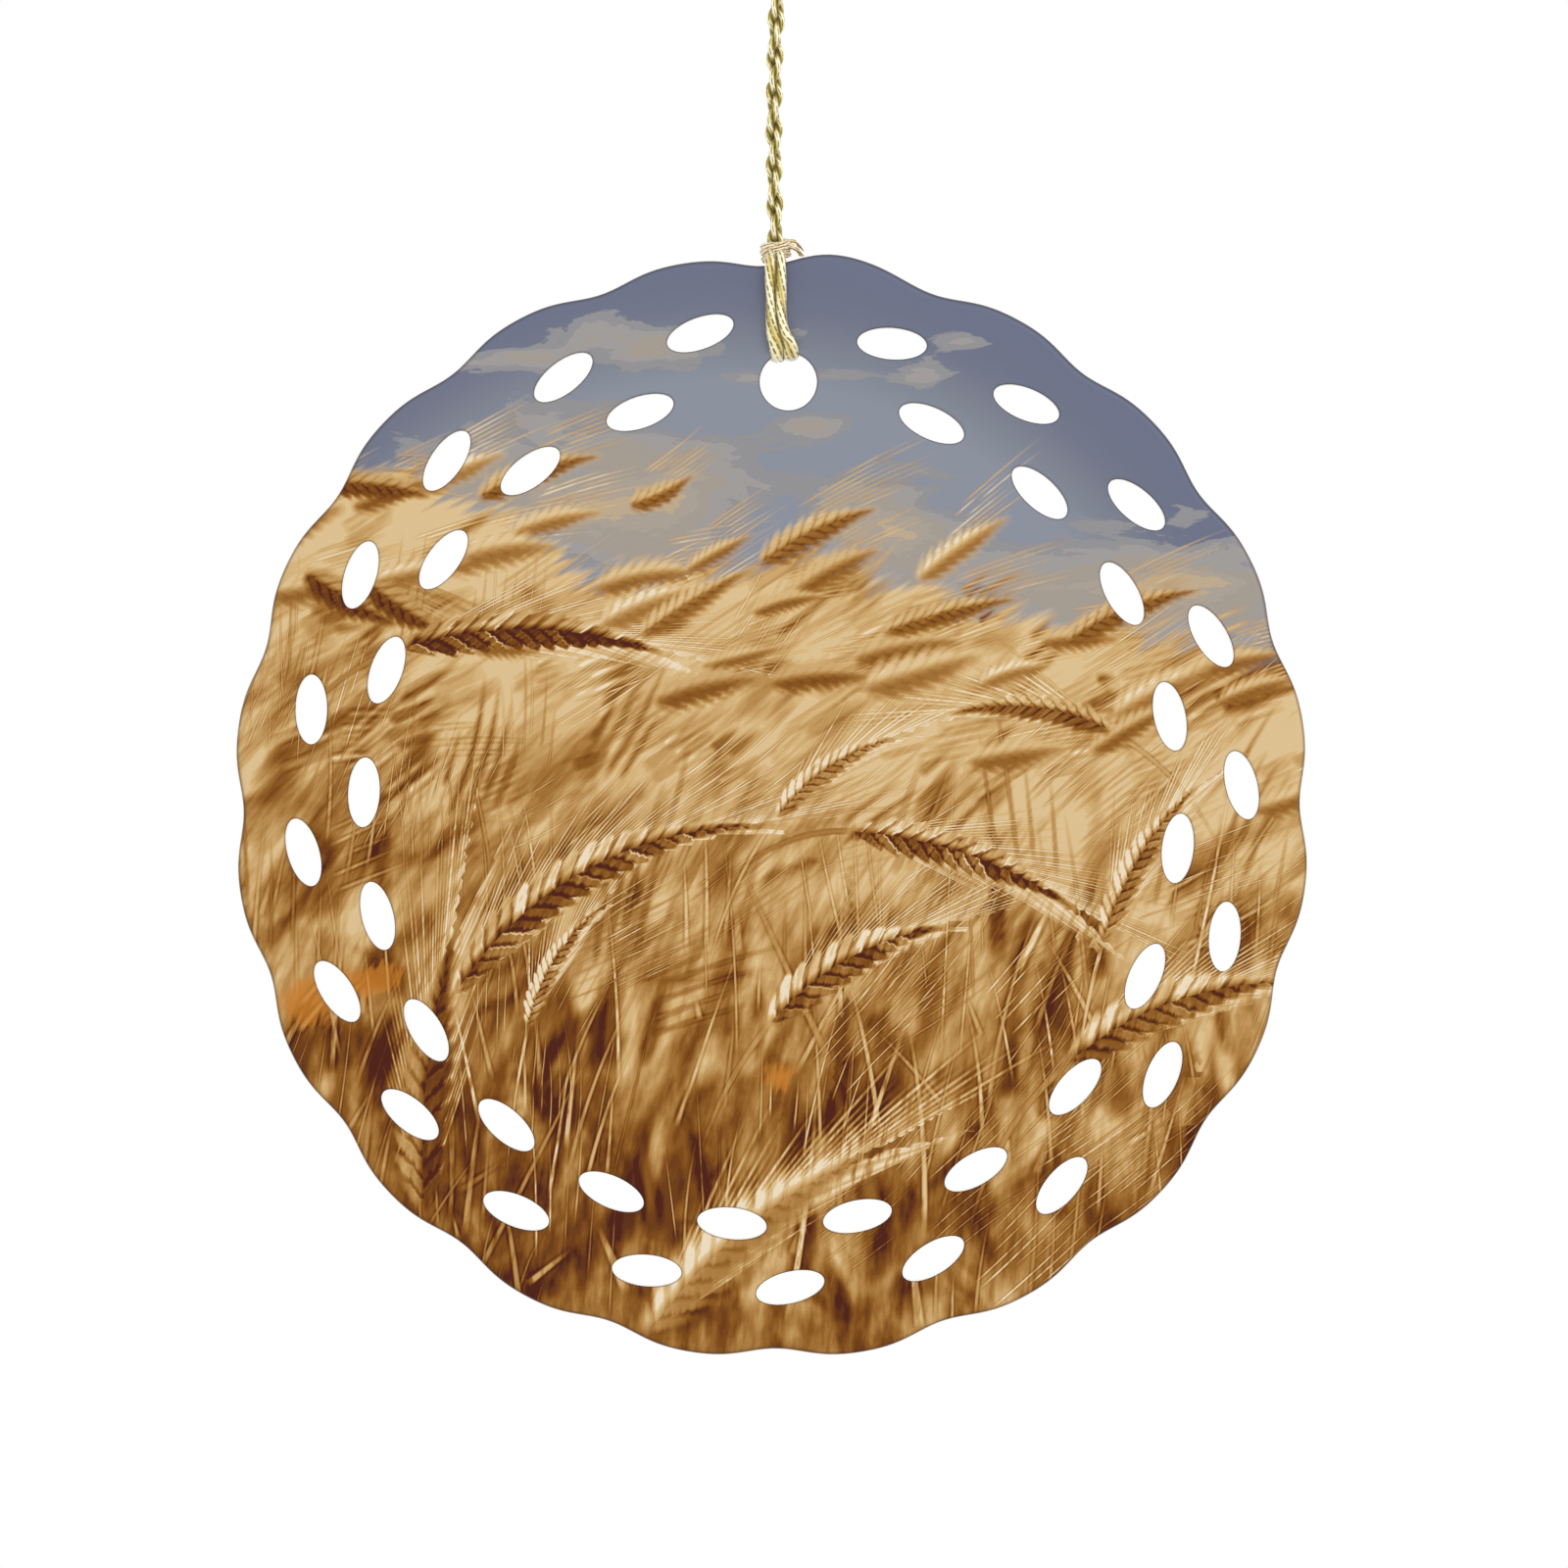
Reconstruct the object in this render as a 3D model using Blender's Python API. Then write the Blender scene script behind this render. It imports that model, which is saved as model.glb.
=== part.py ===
"""Round pierced ceramic ornament that hangs on a doubled gold cord.

The disc stands upright in the XZ plane with its printed face towards -Y, and +Z is up.
The origin is the top of the inside of the cord's loop, where a hook carries the ornament.
Shapes are worked out about the disc's centre, and every object is then set down from the origin.
"""

import math

import bmesh
import bpy
from mathutils import Vector

MM = 0.001
SMOOTH_ANGLE = math.radians(35)

# Ceramic disc: a slightly oval rim with rounded scallops
DISC_WIDTH = 72.0 * MM
DISC_HEIGHT = 73.8 * MM
OVAL_LEAN = math.radians(9.5)
DISC_THICKNESS = 3.0 * MM
RIM_EDGE_RADIUS = 0.5 * MM
SCALLOPS = 20
SCALLOP_DEPTH = 0.70 * MM
SCALLOP_PINCH = 0.058 * MM
FIRST_VALLEY = math.radians(0.4)
HANGER_SWELL = 0.46 * MM
HANGER_SWELL_ANGLE = math.radians(84.0)
HANGER_SWELL_HALF_SPREAD = math.radians(9.0)
POINTS_PER_SCALLOP = 12
RIM_EDGE_STEPS = 2

# Pierced ovals in two rings set in from the rim, and the round hole that the cord goes through
OVAL_LENGTH = 4.68 * MM
OVAL_WIDTH = 2.1 * MM
OVAL_POINTS = 16
OUTER_RING_SIDE_INSET = 4.3 * MM
OUTER_RING_TOP_INSET = 4.55 * MM
OUTER_OVALS = 20
OUTER_GAP = math.radians(23.5)
OUTER_GAP_ANGLE = math.radians(85.2)
OUTER_TILT = math.radians(11.0)
RING_SPACING = 4.2 * MM
INNER_OVALS = 19
INNER_GAP = math.radians(41.8)
INNER_GAP_ANGLE = math.radians(86.2)
INNER_TILT = math.radians(-0.7)
RING_DRIFT = math.radians(1.8)
HANGING_HOLE_DIAMETER = 3.84 * MM
HANGING_HOLE_X = 1.12 * MM
HANGING_HOLE_RAISE = 0.56 * MM
HANGING_HOLE_POINTS = 24
HOLE_EDGE_RADIUS = 0.18 * MM
HOLE_EDGE_STEPS = 1

# Each ring follows the disc's oval, and the hanging hole sits in the inner ring's gap
OUTER_RING_WIDTH = DISC_WIDTH - 2 * OUTER_RING_SIDE_INSET
OUTER_RING_HEIGHT = DISC_HEIGHT - 2 * OUTER_RING_TOP_INSET
INNER_RING_WIDTH = OUTER_RING_WIDTH - 2 * RING_SPACING
INNER_RING_HEIGHT = OUTER_RING_HEIGHT - 2 * RING_SPACING
HANGING_HOLE_Z = INNER_RING_HEIGHT / 2 + HANGING_HOLE_RAISE

# Gold cord: one strand laid double, so two pass through the hole and two go up to the loop
STRAND_DIAMETER = 0.65 * MM
CORD_GAP = 0.3 * MM
STRAND_SHIFT_IN_HOLE = -0.29 * MM
STRAND_FLARE_IN_HOLE = 0.15 * MM
KNOT_SHIFT_FROM_HOLE = -0.85 * MM
KNOT_WIDTH = 2.2 * MM
KNOT_DEPTH = 2.4 * MM
KNOT_TURN_HEIGHT = 0.44 * MM
KNOT_TURNS = 3
KNOT_TURN_STEPS = 4
KNOT_WAIST = 0.8
KNOT_TAPER = 0.16
KNOT_SIDES = 14
PAIR_LENGTH = 17.0 * MM
PAIR_SWAY = 0.18 * MM
PAIR_LEAN = 0.13 * MM
LOOP_LENGTH = 15.0 * MM
LOOP_WIDTH = 7.6 * MM
LOOP_POINTS = 26
ROUTE_STEP = 1.4 * MM

# Two strands side by side, and the same two wound round each other
STRAND_SPACING = STRAND_DIAMETER + CORD_GAP
PAIR_DIAMETER = 2 * STRAND_DIAMETER
KNOT_X = HANGING_HOLE_X + KNOT_SHIFT_FROM_HOLE

# Greatest value of sin(2a) * sin(a), which gives the loop its drop shape
DROP_FULLNESS = 4 / (3 * math.sqrt(3))


def rim_point(angle):
    """Point of the scalloped rim at an angle from +X towards +Z, about the disc's centre."""
    half_width = DISC_WIDTH / 2
    half_height = DISC_HEIGHT / 2
    turned = angle - OVAL_LEAN
    oval = half_width * half_height / math.hypot(
        half_height * math.cos(turned), half_width * math.sin(turned)
    )
    lobe = SCALLOPS * (angle - FIRST_VALLEY)
    reach = oval - SCALLOP_DEPTH / 2 * math.cos(lobe) - SCALLOP_PINCH * math.cos(2 * lobe)
    away = math.remainder(angle - HANGER_SWELL_ANGLE, 2 * math.pi) / HANGER_SWELL_HALF_SPREAD
    if abs(away) < 1:
        reach += HANGER_SWELL * math.cos(away * math.pi / 2) ** 2
    return Vector((reach * math.cos(angle), reach * math.sin(angle)))


def rim_loop():
    """The rim's points, anticlockwise as seen from the front."""
    count = SCALLOPS * POINTS_PER_SCALLOP
    return [rim_point(2 * math.pi * step / count) for step in range(count)]


def oval_loop(centre, length, width, lean, points):
    """An ellipse about a centre, its length turned by lean from +X."""
    loop = []
    for step in range(points):
        angle = 2 * math.pi * step / points
        along = length / 2 * math.cos(angle)
        across = width / 2 * math.sin(angle)
        loop.append(
            centre
            + Vector(
                (
                    along * math.cos(lean) - across * math.sin(lean),
                    along * math.sin(lean) + across * math.cos(lean),
                )
            )
        )
    return loop


def ring_of_ovals(ring_width, ring_height, count, gap, gap_angle, tilt):
    """Ovals spaced evenly round a ring, but for a wider gap at the hanging hole."""
    pitch = (2 * math.pi - gap) / (count - 1)
    loops = []
    for place in range(count):
        angle = gap_angle + gap / 2 + place * pitch
        angle += RING_DRIFT * math.sin(angle)
        centre = Vector((ring_width / 2 * math.cos(angle), ring_height / 2 * math.sin(angle)))
        tangent = math.atan2(ring_height * math.cos(angle), -ring_width * math.sin(angle))
        loops.append(oval_loop(centre, OVAL_LENGTH, OVAL_WIDTH, tangent + tilt, OVAL_POINTS))
    return loops


def hole_loops():
    """Outlines of all the pierced holes: two rings of ovals and the hanging hole."""
    outer = ring_of_ovals(
        OUTER_RING_WIDTH, OUTER_RING_HEIGHT, OUTER_OVALS, OUTER_GAP, OUTER_GAP_ANGLE, OUTER_TILT
    )
    inner = ring_of_ovals(
        INNER_RING_WIDTH, INNER_RING_HEIGHT, INNER_OVALS, INNER_GAP, INNER_GAP_ANGLE, INNER_TILT
    )
    hanging = oval_loop(
        Vector((HANGING_HOLE_X, HANGING_HOLE_Z)),
        HANGING_HOLE_DIAMETER,
        HANGING_HOLE_DIAMETER,
        0.0,
        HANGING_HOLE_POINTS,
    )
    return outer + inner + [hanging]


def moved_sideways(loop, distance):
    """A loop with each point moved to its left as the loop is walked."""
    moved = []
    for index, point in enumerate(loop):
        ahead = loop[(index + 1) % len(loop)] - loop[index - 1]
        left = Vector((-ahead.y, ahead.x)).normalized()
        moved.append(point + left * distance)
    return moved


def wall_rows(edge_radius, steps):
    """Pairs of (distance into the face, Y) down a wall whose two edges are rounded."""
    front = []
    for step in range(steps + 1):
        angle = math.pi / 2 * step / steps
        inset = edge_radius * (1 - math.sin(angle))
        front.append((inset, -DISC_THICKNESS / 2 + edge_radius * (1 - math.cos(angle))))
    back = [(inset, -y) for inset, y in reversed(front)]
    return front + back


def add_wall(mesh, loop, inward, edge_radius, steps):
    """Adds a rounded wall round a loop.

    inward is 1 where the solid lies to the loop's left, and -1 where it lies to its right.
    Returns the wall's front and back edges, which the two faces are filled between.
    """
    rows = []
    for inset, y in wall_rows(edge_radius, steps):
        placed = moved_sideways(loop, inward * inset)
        rows.append([mesh.verts.new((point.x, y, point.y)) for point in placed])
    count = len(loop)
    for upper, lower in zip(rows, rows[1:]):
        for index in range(count):
            after = (index + 1) % count
            mesh.faces.new((upper[index], upper[after], lower[after], lower[index]))
    borders = []
    for row in (rows[0], rows[-1]):
        borders.append([mesh.edges.get((row[i], row[(i + 1) % count])) for i in range(count)])
    return borders


def finished_object(name, mesh, material):
    """Turns a bmesh into a smooth-shaded object with one material."""
    bmesh.ops.recalc_face_normals(mesh, faces=mesh.faces)
    data = bpy.data.meshes.new(name)
    mesh.to_mesh(data)
    mesh.free()
    data.shade_smooth()
    data.set_sharp_from_angle(angle=SMOOTH_ANGLE)
    data.materials.append(material)
    made = bpy.data.objects.new(name, data)
    bpy.context.collection.objects.link(made)
    return made


def make_disc(material):
    """The pierced ceramic disc, one solid."""
    mesh = bmesh.new()
    front, back = add_wall(mesh, rim_loop(), 1, RIM_EDGE_RADIUS, RIM_EDGE_STEPS)
    for loop in hole_loops():
        hole_front, hole_back = add_wall(mesh, loop, -1, HOLE_EDGE_RADIUS, HOLE_EDGE_STEPS)
        front += hole_front
        back += hole_back
    bmesh.ops.triangle_fill(mesh, use_beauty=True, edges=front, normal=(0, -1, 0))
    bmesh.ops.triangle_fill(mesh, use_beauty=True, edges=back, normal=(0, 1, 0))
    return finished_object("ceramic_disc", mesh, material)


def smooth_route(points, step):
    """Points about a step apart on a smooth curve through the route's own points."""
    padded = [2 * points[0] - points[1], *points, 2 * points[-1] - points[-2]]
    route = []
    for before, start, end, after in zip(padded, padded[1:], padded[2:], padded[3:]):
        pieces = max(1, round((end - start).length / step))
        for piece in range(pieces):
            t = piece / pieces
            route.append(
                0.5
                * (
                    2 * start
                    + (end - before) * t
                    + (2 * before - 5 * start + 4 * end - after) * t**2
                    + (3 * start - before - 3 * end + after) * t**3
                )
            )
    return route + [points[-1]]


def make_cord(name, route, diameter, material):
    """A plain round cord along a route, with closed ends."""
    data = bpy.data.curves.new(name, "CURVE")
    data.dimensions = "3D"
    data.bevel_depth = diameter / 2
    data.bevel_resolution = 2
    data.use_fill_caps = True
    spline = data.splines.new("POLY")
    spline.points.add(len(route) - 1)
    for place, point in zip(spline.points, route):
        place.co = (*point, 1)
    spline.use_smooth = True
    data.materials.append(material)
    made = bpy.data.objects.new(name, data)
    bpy.context.collection.objects.link(made)
    return made


def rim_top():
    """Greatest height of the rim above the disc's centre under the knot."""
    heights = []
    for side in (-1, 0, 1):
        across = KNOT_X + side * KNOT_WIDTH / 2
        heights.append(rim_point(math.acos(2 * across / DISC_HEIGHT)).y)
    return max(heights)


def knot_bottom():
    """Height of the knot's underside, just clear of the rim."""
    return rim_top() + CORD_GAP


def knot_top():
    """Height of the knot's upper side."""
    return knot_bottom() + KNOT_TURNS * KNOT_TURN_HEIGHT


def strand_route(side):
    """Route of one strand: down the front, through the hanging hole and up the back.

    side is -1 for the left strand and 1 for the right one, as seen from the front.
    """
    clear = STRAND_DIAMETER / 2 + CORD_GAP
    face_y = DISC_THICKNESS / 2 + clear
    knot_y = KNOT_DEPTH / 2 + clear
    top_x = KNOT_X + side * STRAND_SPACING / 2
    shift = STRAND_SHIFT_IN_HOLE + side * (STRAND_SPACING + STRAND_FLARE_IN_HOLE) / 2
    hole_x = HANGING_HOLE_X + shift
    hole_z = HANGING_HOLE_Z + math.sqrt(
        max((HANGING_HOLE_DIAMETER / 2 - clear) ** 2 - shift**2, 0.0)
    )
    rim_z = rim_top()
    bend_z = hole_z + 0.45 * face_y

    def between(share, start, end):
        return start + share * (end - start)

    # Bends chosen by eye, from the knot down to the hole's upper edge, Y as depth in front
    front = [
        (top_x, min(knot_y, face_y - 0.15 * clear), rim_z + 1.1 * clear),
        (top_x, face_y - 0.1 * clear, rim_z + 0.4 * clear),
        (top_x, face_y, rim_z - 0.6 * clear),
        (top_x, face_y, between(0.3, rim_z, bend_z)),
        (between(0.15, top_x, hole_x), face_y, between(0.65, rim_z, bend_z)),
        (between(0.7, top_x, hole_x), 0.97 * face_y, bend_z),
        (hole_x, 0.62 * face_y, hole_z + 0.12 * face_y),
    ]
    down = [Vector((x, -y, z)) for x, y, z in front]
    up = [Vector((x, y, z)) for x, y, z in reversed(front)]
    return smooth_route(down + [Vector((hole_x, 0.0, hole_z))] + up, ROUTE_STEP)


def pair_route():
    """Route of the two strands twisted together, from the knot up to the loop."""
    bottom = knot_top() + CORD_GAP
    bends = 4
    points = []
    for step in range(bends + 1):
        share = step / bends
        sway = PAIR_LEAN * share - PAIR_SWAY * math.sin(math.pi * share)
        points.append(Vector((KNOT_X + sway, 0.0, bottom + PAIR_LENGTH * share)))
    return smooth_route(points, 2 * ROUTE_STEP)


def loop_route():
    """Route of the strand's open loop at the top, a drop that stands on its point.

    Its two ends are side by side above the twisted pair.
    """
    top_of_pair = pair_route()[-1]
    half_width = LOOP_WIDTH / 2 / DROP_FULLNESS
    mouth_z = top_of_pair.z + CORD_GAP
    start_rise = STRAND_SPACING / (4 * half_width)
    start = math.asin(math.sqrt(start_rise))
    route = []
    for step in range(LOOP_POINTS + 1):
        angle = start + (math.pi - 2 * start) * step / LOOP_POINTS
        across = half_width * math.sin(2 * angle) * math.sin(angle)
        rise = (math.sin(angle) ** 2 - start_rise) / (1 - start_rise)
        route.append(Vector((top_of_pair.x - across, 0.0, mouth_z + LOOP_LENGTH * rise)))
    return route


def make_knot(material):
    """The small knot above the rim: a few round turns of strand, drawn tight.

    The profile is one half round for each turn, and the outer turns are drawn in a little.
    """
    mesh = bmesh.new()
    profile = []
    for turn in range(KNOT_TURNS):
        drawn_in = 1 - KNOT_TAPER * abs(turn - (KNOT_TURNS - 1) / 2)
        for step in range(KNOT_TURN_STEPS + 1):
            angle = math.pi * step / KNOT_TURN_STEPS
            out = drawn_in * (KNOT_WAIST + (1 - KNOT_WAIST) * math.sin(angle))
            up = KNOT_TURN_HEIGHT * (turn + (1 - math.cos(angle)) / 2)
            if not profile or up > profile[-1][1]:
                profile.append((out, up))
    rows = []
    for out, up in profile:
        row = []
        for side in range(KNOT_SIDES):
            angle = 2 * math.pi * side / KNOT_SIDES
            row.append(
                mesh.verts.new(
                    (
                        KNOT_X + out * KNOT_WIDTH / 2 * math.cos(angle),
                        out * KNOT_DEPTH / 2 * math.sin(angle),
                        knot_bottom() + up,
                    )
                )
            )
        rows.append(row)
    for lower, upper in zip(rows, rows[1:]):
        for side in range(KNOT_SIDES):
            after = (side + 1) % KNOT_SIDES
            mesh.faces.new((lower[side], lower[after], upper[after], upper[side]))
    mesh.faces.new(reversed(rows[0]))
    mesh.faces.new(rows[-1])
    return finished_object("cord_knot", mesh, material)


def make_material(name, colour, roughness, metallic):
    """A plain material that gives a piece its colour and gloss."""
    material = bpy.data.materials.new(name)
    material.use_nodes = True
    shader = material.node_tree.nodes["Principled BSDF"]
    shader.inputs["Base Color"].default_value = (*colour, 1)
    shader.inputs["Roughness"].default_value = roughness
    shader.inputs["Metallic"].default_value = metallic
    return material


def main():
    """Builds the ornament in an emptied scene."""
    for old in list(bpy.data.objects):
        bpy.data.objects.remove(old)
    glazed_ceramic = make_material("glazed_ceramic", (0.60, 0.42, 0.22), 0.25, 0.0)
    gold_strand = make_material("gold_strand", (0.78, 0.60, 0.26), 0.35, 0.7)
    loop = loop_route()
    loop_top = max(point.z for point in loop)
    hook = Vector((pair_route()[-1].x, 0.0, loop_top - STRAND_DIAMETER / 2))
    pieces = [
        make_disc(glazed_ceramic),
        make_cord("cord_strand_left", strand_route(-1), STRAND_DIAMETER, gold_strand),
        make_cord("cord_strand_right", strand_route(1), STRAND_DIAMETER, gold_strand),
        make_knot(gold_strand),
        make_cord("cord_twisted_pair", pair_route(), PAIR_DIAMETER, gold_strand),
        make_cord("cord_loop", loop, STRAND_DIAMETER, gold_strand),
    ]
    for piece in pieces:
        piece.location = -hook


main()
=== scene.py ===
"""Round pierced ceramic ornament on a gold cord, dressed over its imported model.

The disc is white glazed ceramic with a print of a ripe barley field under a cloudy sky on
its front. The print's shapes are laid out here in millimetres from the disc's centre, X to the
right and Z up, and the disc's mesh carries them to its material as attributes.
"""

import logging
import math
from collections.abc import Callable, Iterator, Sequence
from dataclasses import dataclass, field
from enum import Enum
from functools import partial
from typing import Any

import bmesh
import bpy
import numpy as np
from bpy.types import Material, Mesh, Node, NodeSocket, NodeTree, Object
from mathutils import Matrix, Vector
from mathutils.geometry import delaunay_2d_cdt
from mathutils.kdtree import KDTree


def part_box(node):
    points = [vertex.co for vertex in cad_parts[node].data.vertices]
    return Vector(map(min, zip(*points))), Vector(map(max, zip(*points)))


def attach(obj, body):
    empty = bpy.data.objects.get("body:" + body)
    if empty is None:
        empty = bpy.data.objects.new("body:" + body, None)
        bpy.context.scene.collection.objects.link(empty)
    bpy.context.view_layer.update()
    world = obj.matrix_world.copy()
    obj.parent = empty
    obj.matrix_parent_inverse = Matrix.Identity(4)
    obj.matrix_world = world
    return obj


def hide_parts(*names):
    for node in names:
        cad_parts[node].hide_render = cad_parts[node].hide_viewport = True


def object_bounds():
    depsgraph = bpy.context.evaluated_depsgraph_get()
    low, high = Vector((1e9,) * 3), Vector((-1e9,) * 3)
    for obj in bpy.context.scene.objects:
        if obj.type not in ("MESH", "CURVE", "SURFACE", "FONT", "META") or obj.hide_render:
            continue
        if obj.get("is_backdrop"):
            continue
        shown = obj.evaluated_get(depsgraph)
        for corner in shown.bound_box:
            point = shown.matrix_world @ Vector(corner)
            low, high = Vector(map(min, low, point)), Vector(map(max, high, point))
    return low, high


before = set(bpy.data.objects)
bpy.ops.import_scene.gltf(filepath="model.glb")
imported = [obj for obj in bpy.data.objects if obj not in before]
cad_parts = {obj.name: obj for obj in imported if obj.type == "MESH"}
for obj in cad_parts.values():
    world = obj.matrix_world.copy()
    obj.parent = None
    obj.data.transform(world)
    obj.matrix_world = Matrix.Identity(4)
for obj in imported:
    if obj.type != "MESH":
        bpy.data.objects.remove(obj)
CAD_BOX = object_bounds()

LOG = logging.getLogger("ornament")
MM = 0.001
ROOT = "root"

# Degrees of bend below which an arc counts as straight
STRAIGHT = 1e-3

Array = np.ndarray
Chance = np.random.Generator
# The function that adds nodes, bound to one tree
Adder = Callable[..., Node]
Rgba = tuple[float, float, float, float]
Pair = tuple[float, float]
Triple = tuple[float, float, float]
# The point numbers of each face
Faces = list[list[int]]
# The corners of a broken line, from left to right
Line = tuple[Pair, ...]
# Places along a colour ramp, each with its sRGB colour
Stops = tuple[tuple[float, str], ...]
# Two readings, and the two values that a Map Range node turns them into
Span = tuple[float, float, float, float]


def linear(hex_colour: str) -> Rgba:
    """Turns an sRGB colour into the linear one that a socket takes.

    Args:
        hex_colour: The colour as #RRGGBB.

    Returns:
        Red, green, blue and an alpha of 1, all linear.
    """
    shares = [int(hex_colour[place : place + 2], 16) / 255 for place in (1, 3, 5)]
    bent = [s / 12.92 if s <= 0.04045 else ((s + 0.055) / 1.055) ** 2.4 for s in shares]
    return (bent[0], bent[1], bent[2], 1.0)


def plug(socket: NodeSocket, value: Any) -> None:
    """Links a node or a socket to an input, or sets the input's own value.

    Args:
        socket: The input.
        value: What goes into it, or None to leave it.
    """
    if isinstance(value, Node):
        value = next(made for made in value.outputs if made.enabled)
    if isinstance(value, NodeSocket):
        socket.id_data.links.new(value, socket)
    elif value is not None:
        socket.default_value = value


def add(tree: NodeTree, kind: str, *inputs: Any, stops: Stops = (), **settings: Any) -> Node:
    """Adds a node with its settings and links.

    Args:
        tree: The tree that gets the node.
        kind: The node's type, without the word ShaderNode, and its operation after a colon.
        inputs: For each input in turn, a node or socket to link, a value, or None to leave it.
        stops: Places and sRGB colours along a colour ramp.
        settings: The node's own properties.

    Returns:
        The new node.
    """
    kind, *operation = kind.split(":")
    node = tree.nodes.new(kind if kind.startswith("Node") else f"ShaderNode{kind}")
    for name, value in [*settings.items(), *(("operation", name) for name in operation)]:
        setattr(node, name, value)
    for socket, value in zip([s for s in node.inputs if s.enabled], inputs):
        plug(socket, value)
    for index, (place, colour) in enumerate(stops):
        elements = node.color_ramp.elements
        element = elements[index] if index < len(elements) else elements.new(place)
        element.position = place
        element.color = linear(colour)
    return node


def new_material(name: str) -> tuple[Material, Adder]:
    """Makes a material with one empty surface shader.

    Args:
        name: The material's name.

    Returns:
        The material, and the function that adds nodes to it.
    """
    material = bpy.data.materials.new(name)
    material.use_nodes = True
    return material, partial(add, material.node_tree)


def dress(material: Material, inputs: dict[str, Any]) -> Material:
    """Sets or links inputs of a material's surface shader by their names, and returns it."""
    for name, value in inputs.items():
        plug(material.node_tree.nodes["Principled BSDF"].inputs[name], value)
    return material


def new_object(name: str, mesh: Mesh, *materials: Material) -> Object:
    """Puts a mesh into the scene with its materials.

    Args:
        name: The piece's name.
        mesh: Its mesh, in the row frame.
        materials: Its materials, in slot order.

    Returns:
        The new object.
    """
    for material in materials:
        mesh.materials.append(material)
    piece = bpy.data.objects.new(name, mesh)
    bpy.context.scene.collection.objects.link(piece)
    LOG.info("%s: %d faces", name, len(mesh.polygons))
    return piece


def put_attribute(mesh: Mesh, name: str, domain: str, values: Array) -> None:
    """Stores values on a mesh for its material: vectors, or else plain numbers.

    Args:
        mesh: The mesh.
        name: The attribute's name.
        domain: POINT, CORNER or FACE.
        values: A row of three values, or one number, for each element.
    """
    kind, key = ("FLOAT_VECTOR", "vector") if values.ndim == 2 else ("FLOAT", "value")
    made = mesh.attributes.new(name, kind, domain)
    made.data.foreach_set(key, values.astype(np.float32).ravel())


def read_off(line: Line, at: Any) -> Any:
    """Reads the height of a broken line at one place or at many."""
    return np.interp(at, *zip(*line))


def unit(angle: float) -> Array:
    """Gives the direction at an angle in degrees, anticlockwise from +X."""
    return np.array([math.cos(math.radians(angle)), math.sin(math.radians(angle))])


def left_of(direction: Array) -> Array:
    """Gives the direction a quarter turn anticlockwise of another."""
    return np.array([-direction[1], direction[0]])


@dataclass(frozen=True)
class Arc:
    """A line on the print that bends evenly, and runs on straight past both ends."""

    base: Pair
    heading: float
    length: float
    bend: float = 0.0

    def at(self, along: float) -> tuple[Array, float]:
        """Finds a place on the arc.

        Args:
            along: Distance from the base in mm.

        Returns:
            The place, and the arc's heading there in degrees.
        """
        inside = min(max(along, 0.0), self.length)
        turned = self.bend * inside / self.length
        heading = self.heading + turned
        if abs(turned) < STRAIGHT:
            place = np.array(self.base) + unit(self.heading) * inside
        else:
            radius = inside / math.radians(turned)
            centre = np.array(self.base) + left_of(unit(self.heading)) * radius
            place = centre - left_of(unit(heading)) * radius
        return place + unit(heading) * (along - inside), heading

    def measure(self, points: Array) -> tuple[Array, Array]:
        """Measures points along and across the arc.

        Args:
            points: Places in mm, one to a row.

        Returns:
            Distances along the arc from its base, and across it with left positive.
        """
        base, start = np.array(self.base), unit(self.heading)
        along = (points - base) @ start
        across = (points - base) @ left_of(start)
        if abs(self.bend) < STRAIGHT:
            return along, across
        radius = self.length / math.radians(self.bend)
        reach = points - (base + left_of(start) * radius)
        turn = math.copysign(1.0, radius)
        away = np.arctan2(reach[:, 1], reach[:, 0])
        first = math.atan2(*(-left_of(start) * turn)[::-1])
        swept = (away - first + math.pi) % (2 * math.pi) - math.pi
        round_arc = abs(radius) * swept * turn
        tip, heading = self.at(self.length)
        ahead, stages = unit(heading), [round_arc > self.length, round_arc > 0]
        on_arc = (abs(radius) - np.hypot(*reach.T)) * turn
        along = np.select(stages, [self.length + (points - tip) @ ahead, round_arc], along)
        across = np.select(stages, [(points - tip) @ left_of(ahead), on_arc], across)
        return along, across


class Side(Enum):
    """The two sides of an ear, as seen along it from its base."""

    LEFT = 1
    RIGHT = -1


@dataclass(frozen=True)
class Ear:
    """One ear of barley on the print: two rows of kernels along an arc."""

    arc: Arc
    width: float
    tone: float
    blur: float = 0.0
    seed: float = 0.0
    usual_width: float = 2.6
    usual_pitch: float = 1.05
    past_ends: float = 0.02
    past_sides: Pair = (1.1, 0.45)

    def lay(self, points: Array) -> Array:
        """Places points on the ear.

        Args:
            points: Places in mm, one to a row.

        Returns:
            For each point its kernel number, its share of the length, and its share of the
            half width, positive on the side that faces the light.
        """
        along, across = self.arc.measure(points)
        middle = math.radians(self.arc.heading + self.arc.bend / 2)
        sunny = math.copysign(1.0, math.cos(middle))
        pitch = self.usual_pitch * self.width / self.usual_width
        return np.stack([along / pitch, along / self.arc.length, sunny * across / (self.width / 2)], 1)

    def form(self) -> list[Triple]:
        """Gives what is the same all over the ear: tone, blur and seed."""
        return [(self.tone, self.blur, self.seed)]

    def covers(self, laid: Array) -> Array:
        """Tells which laid points are on the ear, or beside it as far as its blur reaches."""
        within = (laid[:, 1] > -self.past_ends) & (laid[:, 1] < 1 + self.past_ends)
        return within & (np.abs(laid[:, 2]) < self.past_sides[0] + self.past_sides[1] * self.blur)


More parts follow.
